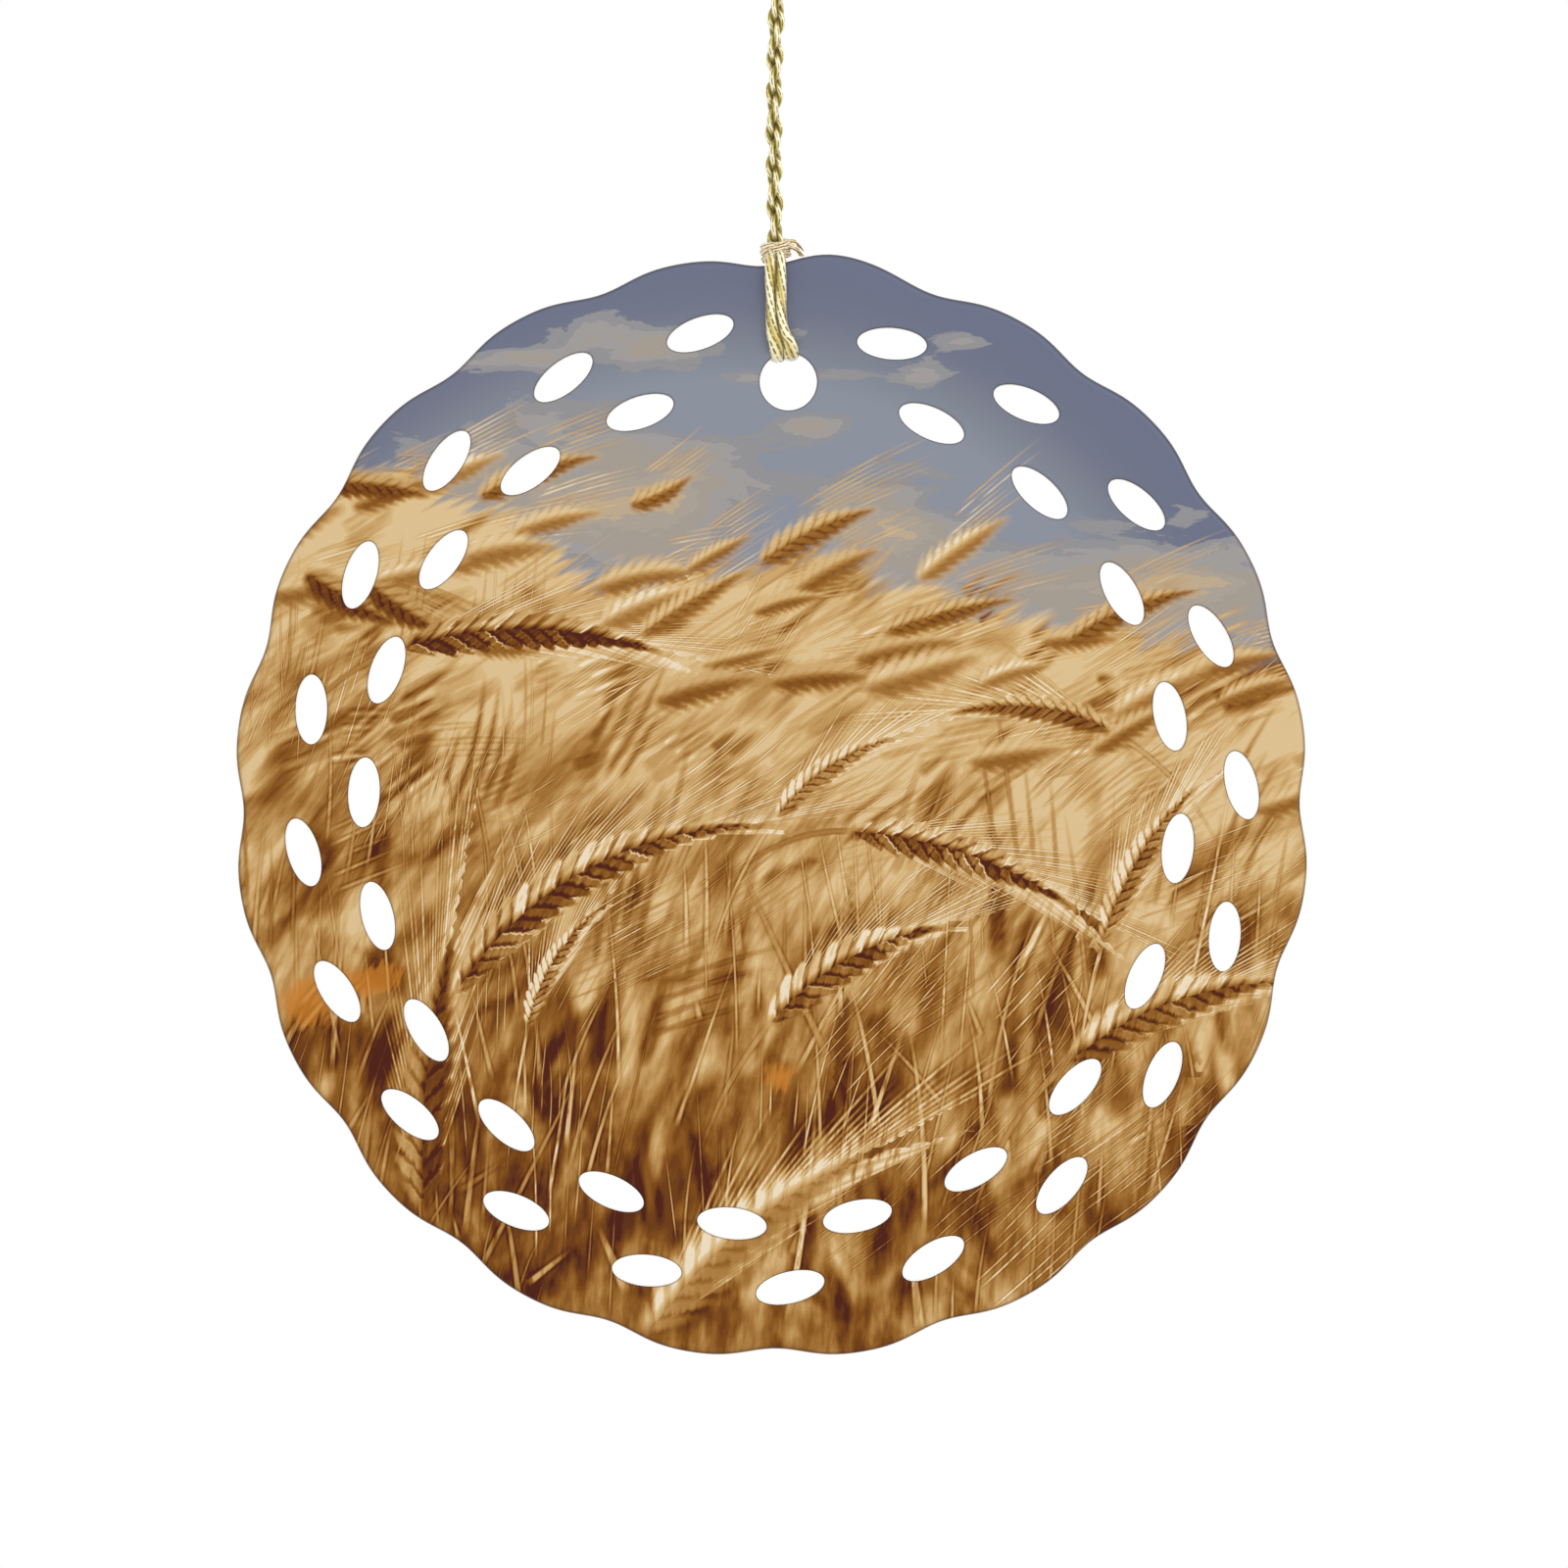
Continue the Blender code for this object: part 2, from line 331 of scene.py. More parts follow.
@dataclass(frozen=True)
class Sheaf:
    """Straws or awns that run side by side on the print, drawn line by line by its material."""

    arc: Arc
    count: int
    spacing: float
    half_width: float
    softness: float
    tone: float
    spread: float = 0.0
    seed: float = 0.0
    margin: float = 0.1

    def lay(self, points: Array) -> Array:
        """Places points among the lines.

        Args:
            points: Places in mm, one to a row.

        Returns:
            For each point its line number, its mm along the lines and the mm between them.
        """
        along, across = self.arc.measure(points)
        between = self.spacing * np.maximum(1 + self.spread * along, 0.2)
        return np.stack([across / between + self.count / 2, along, between], 1)

    def form(self) -> list[Triple]:
        """Gives what is the same for all of the lines, in two threes. Loose lines' seed is over 0."""
        return [(self.half_width, self.softness, self.tone), (self.arc.length, self.count, self.seed)]

    def covers(self, laid: Array) -> Array:
        """Tells which laid points are among the lines."""
        beside = (laid[:, 0] > -self.margin) & (laid[:, 0] < self.count + self.margin)
        return beside & (laid[:, 1] > -self.margin) & (laid[:, 1] < self.arc.length + self.margin)


@dataclass(frozen=True)
class AwnFan:
    """The awns along one side of an ear, each of them straight from its own kernel."""

    ear: Ear
    side: Side
    length: float
    angle: float
    spacing: float
    half_width: float
    softness: float
    tone: float = 0.97
    closing: float = 0.55
    seed: float = 0.0
    step: float = 0.5
    past_end: float = 1.5
    behind: float = 0.3
    margin: Pair = (0.8, 0.1)

    def lay(self, points: Array) -> Array:
        """Places points among the awns, as a sheaf does.

        Args:
            points: Places in mm, one to a row.

        Returns:
            For each point its awn number, its mm along the awn and the mm between awns. It
            is not a number where no awn comes.
        """
        turn = self.side.value
        laid = np.full((len(points), 3), np.nan)
        stations = np.arange(-self.past_end, self.ear.arc.length + self.past_end, self.step)
        before = None
        for station in stations:
            place, heading = self.ear.arc.at(station)
            share = min(max(station / self.ear.arc.length, 0.0), 1.0)
            ahead = unit(heading + turn * self.angle * (1 - self.closing * share))
            aside = turn * ((points - place) @ left_of(ahead))
            along = (points - place) @ ahead
            if before is not None:
                gap = np.maximum(aside - before, 1e-6)
                share_on = -before / gap
                found = (before <= 0) & (aside > 0) & (along > -self.behind)
                number = (station - self.step + share_on * self.step) / self.spacing
                laid[found] = np.stack([number, along, gap * self.spacing / self.step], 1)[found]
            before = aside
        return laid

    def form(self) -> list[Triple]:
        """Gives what is the same for all of the awns, in two threes. Their seed is below 0."""
        count = round(self.ear.arc.length / self.spacing)
        return [(self.half_width, self.softness, self.tone), (self.length, count, self.seed)]

    def covers(self, laid: Array) -> Array:
        """Tells which laid points are among the awns."""
        ahead = (laid[:, 0] > -self.behind) & (laid[:, 1] < self.length + self.margin[1])
        return ahead & (laid[:, 0] < self.ear.arc.length / self.spacing + self.margin[0])


class Overlay:
    """Attributes that carry the topmost few shapes over each face of the print."""

    def __init__(self, name: str, depth: int, forms: int, corners: Array, faces: int) -> None:
        """Starts with no shape on any face.

        Args:
            name: First word of the attributes' names.
            depth: How many shapes a face can carry.
            forms: How many threes of values describe one shape.
            corners: For each face corner, the number of its face.
            faces: How many faces there are.
        """
        self.name = name
        self.corners = corners
        self.places = np.zeros((depth, len(corners), 3), np.float32)
        self.forms = np.zeros((depth, forms, faces, 3), np.float32)
        self.load = np.zeros(faces, np.int64)

    def lay(self, shape: Ear | Sheaf | AwnFan, points: Array, corner_points: Array) -> None:
        """Lays one shape over all that came before it.

        Args:
            shape: The shape.
            points: The mesh's points on the print, in mm.
            corner_points: For each face corner, the number of its point.
        """
        laid = shape.lay(points)
        wanted = shape.covers(laid)[corner_points]
        broken = ~np.isfinite(laid[:, 0])[corner_points]
        faces = self.forms.shape[2]
        taken = np.bincount(self.corners, wanted, faces) > 0
        taken &= np.bincount(self.corners, broken, faces) == 0
        self.load += taken
        on_corner = taken[self.corners]
        self.places[:-1, on_corner] = self.places[1:, on_corner]
        self.places[-1, on_corner] = laid[corner_points][on_corner]
        self.forms[:-1, :, taken] = self.forms[1:, :, taken]
        self.forms[-1][:, taken] = np.array(shape.form(), np.float32)[:, None]

    def store(self, mesh: Mesh) -> None:
        """Writes the attributes to the mesh, and logs how many faces had too many shapes.

        Args:
            mesh: The disc's mesh.
        """
        lost = int((self.load > len(self.places)).sum())
        LOG.info("%s: up to %d shapes on a face, %d faces lost some", self.name, self.load.max(), lost)
        for level, places in enumerate(self.places):
            put_attribute(mesh, f"{self.name}_{level}_place", "CORNER", places)
            for part, values in enumerate(self.forms[level]):
                put_attribute(mesh, f"{self.name}_{level}_form_{part}", "FACE", values)


@dataclass(frozen=True)
class Patch:
    """A soft oval part of the printed field that is lighter or darker than the rest."""

    centre: Pair
    reach: Pair
    tone: float

    def lift(self, points: Array) -> Array:
        """Gives how much the patch adds to the tone at each point."""
        away = ((points - self.centre) / self.reach) ** 2
        return self.tone * np.exp(-away.sum(axis=1))


@dataclass(frozen=True)
class Blade:
    """A leaf or ear that is out of focus, so wide and soft that the mesh's own points carry it."""

    arc: Arc
    half_width: float
    softness: float
    tone: float
    strength: float

    def paint(self, points: Array, tone: Array) -> Array:
        """Lays the blade over the tone that the points have.

        Args:
            points: Places in mm, one to a row.
            tone: Their tone so far.

        Returns:
            Their tone with the blade.
        """
        along, across = self.arc.measure(points)
        share = np.clip(along / self.arc.length, 0.0, 1.0)
        half = self.half_width * np.sin(math.pi * share) ** 0.6
        inside = np.clip((half - np.abs(across)) / self.softness, 0.0, 1.0)
        return tone + self.strength * inside**2 * (3 - 2 * inside) * (self.tone - tone)


@dataclass(frozen=True)
class Undergrowth:
    """The out-of-focus leaves and ears all over the field, pale ones and gaps by turns."""

    blades: int = 420
    reach: float = 37.0
    heading_by_height: Line = ((-30.0, 86.0), (-8.0, 66.0), (8.0, 42.0), (16.0, 28.0))
    stray: float = 22.0
    length: Pair = (3.5, 10.0)
    bend: float = 20.0
    half_width: Pair = (0.5, 1.9)
    softness: Pair = (0.9, 0.15)
    pale: Pair = (0.14, 0.34)
    dark: Pair = (-0.40, -0.16)
    strength: float = 0.8

    def paint(self, points: Array, tone: Array, chance: Chance) -> Array:
        """Lays all the blades over a tone.

        Args:
            points: Places in mm, one to a row.
            tone: The field's broad tone there.
            chance: The source of the blades' differences.

        Returns:
            The tone with the blades.
        """
        broad = tone.copy()
        for number in range(self.blades):
            base = chance.uniform(-self.reach, self.reach, 2)
            heading = chance.normal(read_off(self.heading_by_height, base[1]), self.stray)
            length = chance.uniform(*self.length)
            arc = Arc((base[0], base[1]), heading, length, chance.normal(0.0, self.bend))
            half_width = chance.uniform(*self.half_width)
            softness = self.softness[0] * half_width + self.softness[1]
            step = chance.uniform(*(self.dark if number % 2 else self.pale))
            nearest = np.argmin(((points - base) ** 2).sum(axis=1))
            blade = Blade(arc, half_width, softness, broad[nearest] + step, self.strength)
            tone = blade.paint(points, tone)
        return tone


@dataclass(frozen=True)
class Thicket:
    """A stretch of the field that is strewn with like sheaves, each a little different."""

    west: float
    east: float
    low: float
    high: float
    sheaves: int
    heading: float
    stray: float
    length: Pair
    count: tuple[int, int]
    spacing: float
    half_width: Pair
    softness: float
    tone: Pair
    bend: float = 12.0
    spread: float = 0.02
    least_depth: float = 0.5
    seeds: float = 90.0

    def strew(self, chance: Chance, skyline: "Skyline") -> Iterator[Sheaf]:
        """Makes the sheaves.

        Args:
            chance: The source of their small differences.
            skyline: The field's upper edge, which no sheaf starts above.

        Yields:
            One sheaf after another.
        """
        for _ in range(self.sheaves):
            base = (chance.uniform(self.west, self.east), chance.uniform(self.low, self.high))
            heading = chance.normal(self.heading, self.stray)
            length = chance.uniform(*self.length)
            bend = chance.normal(0.0, self.bend)
            count = int(chance.integers(self.count[0], self.count[1] + 1))
            half_width = chance.uniform(*self.half_width)
            tone, seed = chance.uniform(*self.tone), chance.uniform(0.0, self.seeds)
            if skyline.depth(np.array([base]))[0] < self.least_depth:
                continue
            arc = Arc(base, heading, length, bend)
            yield Sheaf(arc, count, self.spacing, half_width, self.softness, tone, self.spread, seed)


@dataclass(frozen=True)
class Skyline:
    """The line on the print where the field ends and the sky begins."""

    places: Line = (
        (-40.0, 24.5), (-31.0, 24.0), (-25.0, 22.5), (-18.0, 19.5), (-12.0, 15.6),
        (-8.0, 15.2), (-3.0, 16.4), (3.0, 17.0), (8.0, 15.4),
        (13.0, 13.6), (24.0, 12.4), (31.0, 10.6), (40.0, 9.6),
    )

    def depth(self, points: Array) -> Array:
        """Gives how far each point lies below the line, in mm."""
        return read_off(self.places, points[:, 0]) - points[:, 1]


@dataclass
class FieldPicture:
    """The printed picture's shapes, in mm from the disc's centre.

    The ears are of no particular plant: each is an arc with two rows of kernels. What stands
    behind them is laid by chance within the picture's broad light and dark areas.
    """

    skyline: Skyline = field(default_factory=Skyline)
    seed: int = 11
    straw_layers: int = 10
    ear_layers: int = 3
    tone_by_depth: Line = ((0.0, 0.86), (5.0, 0.92), (13.0, 0.80), (24.0, 0.63), (42.0, 0.44))
    streaks_by_depth: Line = ((0.0, 0.36), (8.0, 0.56), (16.0, 0.80), (40.0, 0.85))
    growth_by_height: Line = ((-36.0, 88.0), (-12.0, 74.0), (4.0, 46.0), (16.0, 30.0))
    ears: tuple[Ear, ...] = (
        Ear(Arc((22.8, 5.2), 152, 11, 44), 2, 0.52, 0.25, 3),
        Ear(Arc((22.4, -8.8), 74, 12, -30), 2, 0.66, 0.10, 5),
        Ear(Arc((0.4, -0.6), 54, 9.6, -40), 1.8, 0.70, 0.12, 8),
        Ear(Arc((-23.4, -27), 94, 18, -20), 3.6, 0.34, 0.30, 11),
        Ear(Arc((-16.4, -14.6), 78, 9, -38), 1.5, 0.74, 0, 14),
        Ear(Arc((-24.8, 10.8), 17, 17.5, -36), 2.9, 0.42, 0, 17),
        Ear(Arc((5.6, -1.6), -4, 15.5, -30), 2.7, 0.48, 0, 21),
        Ear(Arc((-21.2, -12.4), 58, 24, -58), 3.2, 0.56, 0, 25),
        Ear(Arc((0, -14.4), 50, 13.4, -42), 3, 0.58, 0, 29),
        Ear(Arc((20.2, -17), 40, 15.6, -40), 3.3, 0.56, 0.14, 34),
        Ear(Arc((-8.4, -35.6), 56, 20, -34), 3.8, 0.70, 0.62, 38),
    )
    skyline_ears: tuple[Ear, ...] = (
        Ear(Arc((-31.4, 15.8), -34, 7, 8), 2.3, 0.36, 0.5, 41),
        Ear(Arc((-27.2, 15), -36, 6, 6), 2.2, 0.38, 0.5, 43),
        Ear(Arc((-30, 21.8), 4, 7, -22), 2, 0.42, 0.5, 45),
        Ear(Arc((-19.8, 20.8), 32, 9, -26), 2.1, 0.52, 0.55, 47),
        Ear(Arc((-9.6, 20.4), 14, 4.8, 22), 1.7, 0.54, 0.65, 49),
        Ear(Arc((-8.8, 11.6), 38, 8.6, -14), 1.9, 0.58, 0.65, 51),
        Ear(Arc((-0.8, 16.4), 38, 9, -26), 2.2, 0.54, 0.5, 53),
        Ear(Arc((7.6, 11.8), 22, 9.4, -16), 1.8, 0.54, 0.55, 55),
        Ear(Arc((20, 11.2), 36, 9.8, -30), 2, 0.52, 0.5, 57),
    )
    # In each thicket: west, east, low, high, sheaves, heading and its stray, length, number of
    # lines, spacing, half width, softness, tone. The first four lie behind the distant ears.
    thickets: tuple[Thicket, ...] = (
        Thicket(-36, 36, -37, -12, 34, 88, 7, (10, 22), (1, 2), 2.4, (0.30, 0.7), 0.30, (0.10, 0.32)),
        Thicket(-36, 36, 0, 24, 70, 28, 9, (5, 9), (2, 4), 0.9, (0.16, 0.34), 0.22, (0.70, 0.98)),
        Thicket(-36, 36, 0, 20, 30, 30, 12, (4, 8), (1, 3), 0.9, (0.15, 0.35), 0.20, (0.24, 0.48)),
        Thicket(-36, 36, -16, 8, 26, 48, 22, (7, 13), (2, 5), 0.9, (0.08, 0.20), 0.14, (0.30, 0.90)),
        Thicket(-36, 36, -36, -4, 44, 84, 26, (4, 11), (1, 1), 1.4, (0.16, 0.42), 0.09, (0.52, 0.9)),
        Thicket(-36, 34, -37, -8, 50, 87, 8, (9, 22), (2, 4), 1.3, (0.06, 0.16), 0.06, (0.56, 0.96)),
        Thicket(-32, 30, -37, -16, 46, 86, 11, (10, 24), (1, 1), 1.4, (0.12, 0.26), 0.07, (0.62, 0.96)),
        Thicket(-36, -14, -24, 16, 20, 80, 10, (8, 15), (4, 8), 0.6, (0.03, 0.06), 0.05, (0.72, 1)),
        Thicket(-20, 34, -12, 14, 32, 34, 9, (8, 15), (7, 14), 0.42, (0.04, 0.07), 0.05, (0.76, 1.02)),
        Thicket(-20, 34, -12, 12, 7, 24, 8, (7, 12), (3, 6), 0.6, (0.03, 0.05), 0.05, (0.74, 1)),
        Thicket(2, 34, -34, -12, 22, 42, 10, (8, 15), (5, 10), 0.5, (0.04, 0.08), 0.06, (0.74, 1)),
    )
    thickets_behind: int = 4
    seeds: float = 90.0
    undergrowth: Undergrowth = field(default_factory=Undergrowth)
    patches: tuple[Patch, ...] = (
        Patch((-26, -22), (9, 8), -0.14),
        Patch((-14, -22), (9, 9), -0.12),
        Patch((-12, -34), (9, 5), -0.06),
        Patch((3, -22), (10, 5), -0.10),
        Patch((15, -14), (5, 5), -0.12),
        Patch((14, 1), (9, 3), 0.08),
        Patch((18, -6), (9, 5), 0.07),
        Patch((24, 8), (12, 4), 0.06),
        Patch((3, -5.5), (5, 3.5), 0.20),
        Patch((24, -20), (8, 6), 0.08),
        Patch((-22, 6), (4, 4), 0.08),
        Patch((-14, 3), (3, 4), -0.22),
        Patch((-30, 2), (5, 8), -0.12),
        Patch((30, -4), (4, 6), -0.10),
    )
    amber_spots: tuple[Patch, ...] = (
        Patch((-31.2, -13), (1.9, 1.9), 1),
        Patch((-27, -11.6), (2.3, 1.2), 0.9),
        Patch((0.4, -18), (1.3, 1.3), 0.8),
    )
    clouds: tuple[Patch, ...] = (
        Patch((-16, 21.5), (10, 5), 1),
        Patch((-7, 20.6), (6, 5.2), 0.72),
        Patch((8, 18), (6.5, 4.6), 1.1),
        Patch((20, 13.6), (9, 4), 0.9),
        Patch((29, 14.4), (7, 4.6), 0.8),
        Patch((-8, 31.3), (6.5, 1.7), 0.8),
        Patch((-17.5, 30.2), (4.5, 0.8), 0.8),
        Patch((-1.4, 28.9), (3, 0.6), 0.6),
        Patch((4.8, 29.2), (2.6, 0.6), 0.6),
        Patch((2.2, 25.7), (2.8, 0.8), 0.7),
        Patch((9.8, 29.2), (2.2, 0.9), 0.8),
        Patch((12.8, 31.6), (2.4, 0.8), 0.6),
    )
    # In each row: depth below the skyline, spacing, tone
    distant_rows: tuple[Triple, ...] = ((1.2, 7.6, 0.66), (4.8, 7.0, 0.62), (9.0, 8.0, 0.58))
    distant_reach: float = 34.0
    distant_shift: Pair = (2.6, 1.8)
    distant_heading: Line = ((-20.0, 14.0), (-19.99, 28.0))
    distant_stray: float = 9.0
    distant_length: Pair = (4.5, 9.0)
    distant_bend: Pair = (-18.0, 10.0)
    distant_width: Pair = (0.255, 0.345)
    distant_shade: Pair = (-0.10, 0.08)
    distant_blur: float = 0.85
    # The haze starts at a share of its ear's length, and is as long and bends as much as others
    haze_shares: Triple = (0.35, 1.3, 0.4)
    haze_lean: float = 6.0
    haze_lighter: float = 0.34
    stem_length: float = 15.0
    # Share of the way round to straight down, which is at -90 degrees
    stem_droop: float = 0.85
    stem_share: float = 0.075
    stem_lighter: float = 0.1
    # An ear's awns: their angle on either side, their length by its width, the rest by its blur
    awn_angle: Pair = (13.0, 22.0)
    awn_length: Line = ((0.0, 2.0), (4.0, 18.8))
    awn_spacing: Line = ((0.0, 0.42), (1.0, 1.02))
    awn_half_width: Line = ((0.0, 0.055), (1.0, 0.195))
    awn_softness: Line = ((0.0, 0.04), (1.0, 0.20))

    def distant_ears(self, chance: Chance) -> Iterator[Ear]:
        """Makes the blurred ears that stand up along the skyline and behind the sharp ones.

        Args:
            chance: The source of their places and turns.

        Yields:
            One ear after another, the farthest first.
        """
        sideways, upwards = self.distant_shift
        for depth, spacing, tone in self.distant_rows:
            for across in np.arange(-self.distant_reach, self.distant_reach, spacing):
                west = across + chance.uniform(-sideways, sideways)
                height = self.skyline.depth(np.array([[west, 0.0]]))[0] - depth
                base = (west, height + chance.uniform(-upwards, upwards))
                heading = chance.normal(read_off(self.distant_heading, west), self.distant_stray)
                length = chance.uniform(*self.distant_length)
                bend = chance.normal(*self.distant_bend)
                width = length * chance.uniform(*self.distant_width)
                seed = chance.uniform(0.0, self.seeds)
                shade = tone + chance.uniform(*self.distant_shade)
                yield Ear(Arc(base, heading, length, bend), width, shade, self.distant_blur, seed)
        yield from self.skyline_ears

    def haze(self, ear: Ear) -> Sheaf:
        """Makes the pale blurred awns that stand off the upper side of a distant ear.

        Args:
            ear: The ear.

        Returns:
            The awns, which run along with it from a third of its length on.
        """
        start, reach, bend = self.haze_shares
        ahead = ear.arc.heading + ear.arc.bend / 2
        base = ear.arc.at(start * ear.arc.length)[0] + left_of(unit(ahead)) * ear.width / 2
        heading = ahead + self.haze_lean
        arc = Arc((base[0], base[1]), heading, reach * ear.arc.length, bend * ear.arc.bend)
        looks = {"tone": ear.tone + self.haze_lighter, "spread": 0.05, "seed": ear.seed}
        return Sheaf(arc, count=9, spacing=0.24, half_width=0.07, softness=0.10, **looks)

    def stem(self, ear: Ear) -> Sheaf:
        """Makes the stem that an ear stands on, which bends down out of the picture.

        Args:
            ear: The ear.

        Returns:
            The stem, as a sheaf of one line from the ear's foot.
        """
        start = ear.arc.heading + 180.0
        bend = self.stem_droop * ((-90.0 - start + 180.0) % 360.0 - 180.0)
        arc = Arc(ear.arc.base, start, self.stem_length, bend)
        looks = {"half_width": self.stem_share * ear.width, "tone": ear.tone + self.stem_lighter}
        return Sheaf(arc, count=1, spacing=0.5, softness=0.05, seed=-ear.seed, **looks)

    def awns(self, ear: Ear, side: Side) -> AwnFan:
        """Makes the awns on one side of an ear, finer and closer the sharper it is.

        Args:
            ear: The ear.
            side: Its side. The awns stand off less on the one that it bends away from.

        Returns:
            The fan of awns.
        """
        return AwnFan(
            ear,
            side,
            length=read_off(self.awn_length, ear.width),
            angle=self.awn_angle[0] if side.value * ear.arc.bend < 0 else self.awn_angle[1],
            spacing=read_off(self.awn_spacing, ear.blur),
            half_width=read_off(self.awn_half_width, ear.blur),
            softness=read_off(self.awn_softness, ear.blur),
            seed=side.value - ear.seed,
        )

    def straws(self, chance: Chance, distant: Sequence[Ear]) -> Iterator[Sheaf | AwnFan]:
        """Makes all that is drawn by lines, from the back of the picture to its front.

        Args:
            chance: The source of small differences.
            distant: The blurred ears along the skyline.

        Yields:
            One sheaf or fan after another.
        """
        for thicket in self.thickets[: self.thickets_behind]:
            yield from thicket.strew(chance, self.skyline)
        for ear in distant:
            yield self.haze(ear)
        for thicket in self.thickets[self.thickets_behind :]:
            yield from thicket.strew(chance, self.skyline)
        for ear in self.ears:
            yield self.stem(ear)
            for side in Side:
                yield self.awns(ear, side)

    def flow(self, points: Array) -> Array:
        """Straightens the field's growth, upright at its foot and leaning over at its top.

        Args:
            points: Places in mm.

        Returns:
            For each point the mm across the growth and the mm up it.
        """
        heights = np.linspace(-40.0, 40.0, 81)
        angles = read_off(self.growth_by_height, heights)
        drift = np.cumsum(1 / np.tan(np.radians(angles)))
        across = points[:, 0] - np.interp(points[:, 1], heights, drift)
        return np.stack([across, points[:, 1], np.zeros(len(points))], 1)

    def ground(self, points: Array) -> Array:
        """Lays out the field behind the straws.

        Args:
            points: Places in mm.

        Returns:
            For each point its tone, its streakiness and its depth below the skyline.
        """
        depth = self.skyline.depth(points)
        tone = read_off(self.tone_by_depth, depth)
        tone += sum(patch.lift(points) for patch in self.patches)
        tone = self.undergrowth.paint(points, tone, np.random.default_rng(self.seed))
        return np.stack([tone, read_off(self.streaks_by_depth, depth), depth], 1)

    def tint(self, points: Array, ink: Array) -> Array:
        """Lays out the colours that stand apart from the field's own.

        Args:
            points: Places in mm.
            ink: Each point's share of ink.

        Returns:
            For each point its amber, its cloud and its share of ink.
        """
        amber = sum(spot.lift(points) for spot in self.amber_spots)
        cloud = sum(part.lift(points) for part in self.clouds)
        return np.stack([amber, cloud, ink], 1)

    def print_on(self, mesh: Mesh, places: Array, ink: Array, bent: Array) -> None:
        """Stores the whole picture on a mesh.

        Args:
            mesh: The disc's mesh.
            places: Each vertex's place on the print, in mm from the disc's centre.
            ink: Each vertex's share of ink, from 0 on bare glaze to 1.
            bent: How far the print is bent over an edge at each vertex, from 0 to 1, which sets its
                painted edge shade.
        """
        corner_points = np.zeros(len(mesh.loops), np.int64)
        mesh.loops.foreach_get("vertex_index", corner_points)
        totals = np.zeros(len(mesh.polygons), np.int64)
        mesh.polygons.foreach_get("loop_total", totals)
        corners = np.repeat(np.arange(len(totals)), totals)
        for name, values in (
            ("place", np.concatenate([places, np.zeros((len(places), 1))], 1)),
            ("flow", self.flow(places)),
            ("ground", self.ground(places)),
            ("tint", self.tint(places, ink)),
            ("edge", bent),
        ):
            put_attribute(mesh, f"print_{name}", "POINT", values)
        chance = np.random.default_rng(self.seed)
        distant = list(self.distant_ears(chance))
        straws = Overlay("straw", self.straw_layers, 2, corners, len(totals))
        for shape in self.straws(chance, distant):
            straws.lay(shape, places, corner_points)
        straws.store(mesh)
        ears = Overlay("ear", self.ear_layers, 1, corners, len(totals))
        for ear in [*distant, *self.ears]:
            ears.lay(ear, places, corner_points)
        ears.store(mesh)


@dataclass(frozen=True)
class GlazedCeramic:
    """Fired white earthenware under a clear glossy glaze, dipped and wiped by hand.

    The glaze gives a soft white with clear highlights, lies in faint slow waves, turns a
    little creamier where it ran thin, and shows a few fine specks of the clay.
    """

    white: str = "#F3F1EB"
    thin_white: str = "#EDEAE2"
    speck: str = "#C6BBA6"
    speck_mm: float = 0.16
    speck_spacing_mm: float = 3.2
    speck_share: float = 0.3
    roughness: float = 0.14
    ior: float = 1.52
    blotch_mm: float = 15.0
    wave_mm: float = 6.0
    wave_height_mm: float = 0.02

    def material(self) -> Material:
        """Makes the glaze for the disc's sides and back.

        Returns:
            The material.
        """
        material, node = new_material("glazed_earthenware")
        place = node("TexCoord").outputs["Object"]
        blotch = node("TexNoise", place, 1 / (self.blotch_mm * MM), 3.0, 0.6)
        glaze = node("ValToRGB", blotch, stops=((0.32, self.thin_white), (0.64, self.white)))
        # Real specks are about 0.1 mm, and these are drawn a little wider so that they show
        spots = node("TexVoronoi", place, 1 / (self.speck_spacing_mm * MM))
        speck = self.speck_mm / self.speck_spacing_mm
        near = node("MapRange", spots.outputs["Distance"], 0.2 * speck, 0.5 * speck, 1.0, 0.0)
        kept = node("Math:LESS_THAN", spots.outputs["Color"], self.speck_share)
        speckled = node("Math:MULTIPLY", near, kept)
        colour = node("Mix", speckled, glaze, linear(self.speck), data_type="RGBA")
        waves = node("TexNoise", place, 1 / (self.wave_mm * MM), 2.0, 0.5)
        bump = node("Bump", 1.0, self.wave_height_mm * MM, None, waves)
        looks = {"Base Color": colour, "Normal": bump, "Roughness": self.roughness, "IOR": self.ior}
        return dress(material, looks)


@dataclass(frozen=True)
class InkLayer:
    """A node group that lays one shape of the print over the tone that lies behind it."""

    name: str
    vectors: tuple[str, ...]

    def begin(self) -> tuple[NodeTree, Adder, Node, list[list[NodeSocket]]]:
        """Makes the group with its sockets: tone and cover go through, the rest comes in.

        Returns:
            The group's tree, the function that adds nodes to it, its input node, and the three
            values of each vector.
        """
        tree = bpy.data.node_groups.new(self.name, "ShaderNodeTree")
        node = partial(add, tree)
        through = [(name, way, "Float") for name in ("Tone", "Cover") for way in ("INPUT", "OUTPUT")]
        inward = [("Grain", "INPUT", "Float"), *((name, "INPUT", "Vector") for name in self.vectors)]
        for name, way, kind in through + inward:
            tree.interface.new_socket(name, in_out=way, socket_type=f"NodeSocket{kind}")
        inlet = node("NodeGroupInput")
        apart = [list(node("SeparateXYZ", inlet.outputs[name]).outputs) for name in self.vectors]
        return tree, node, inlet, apart


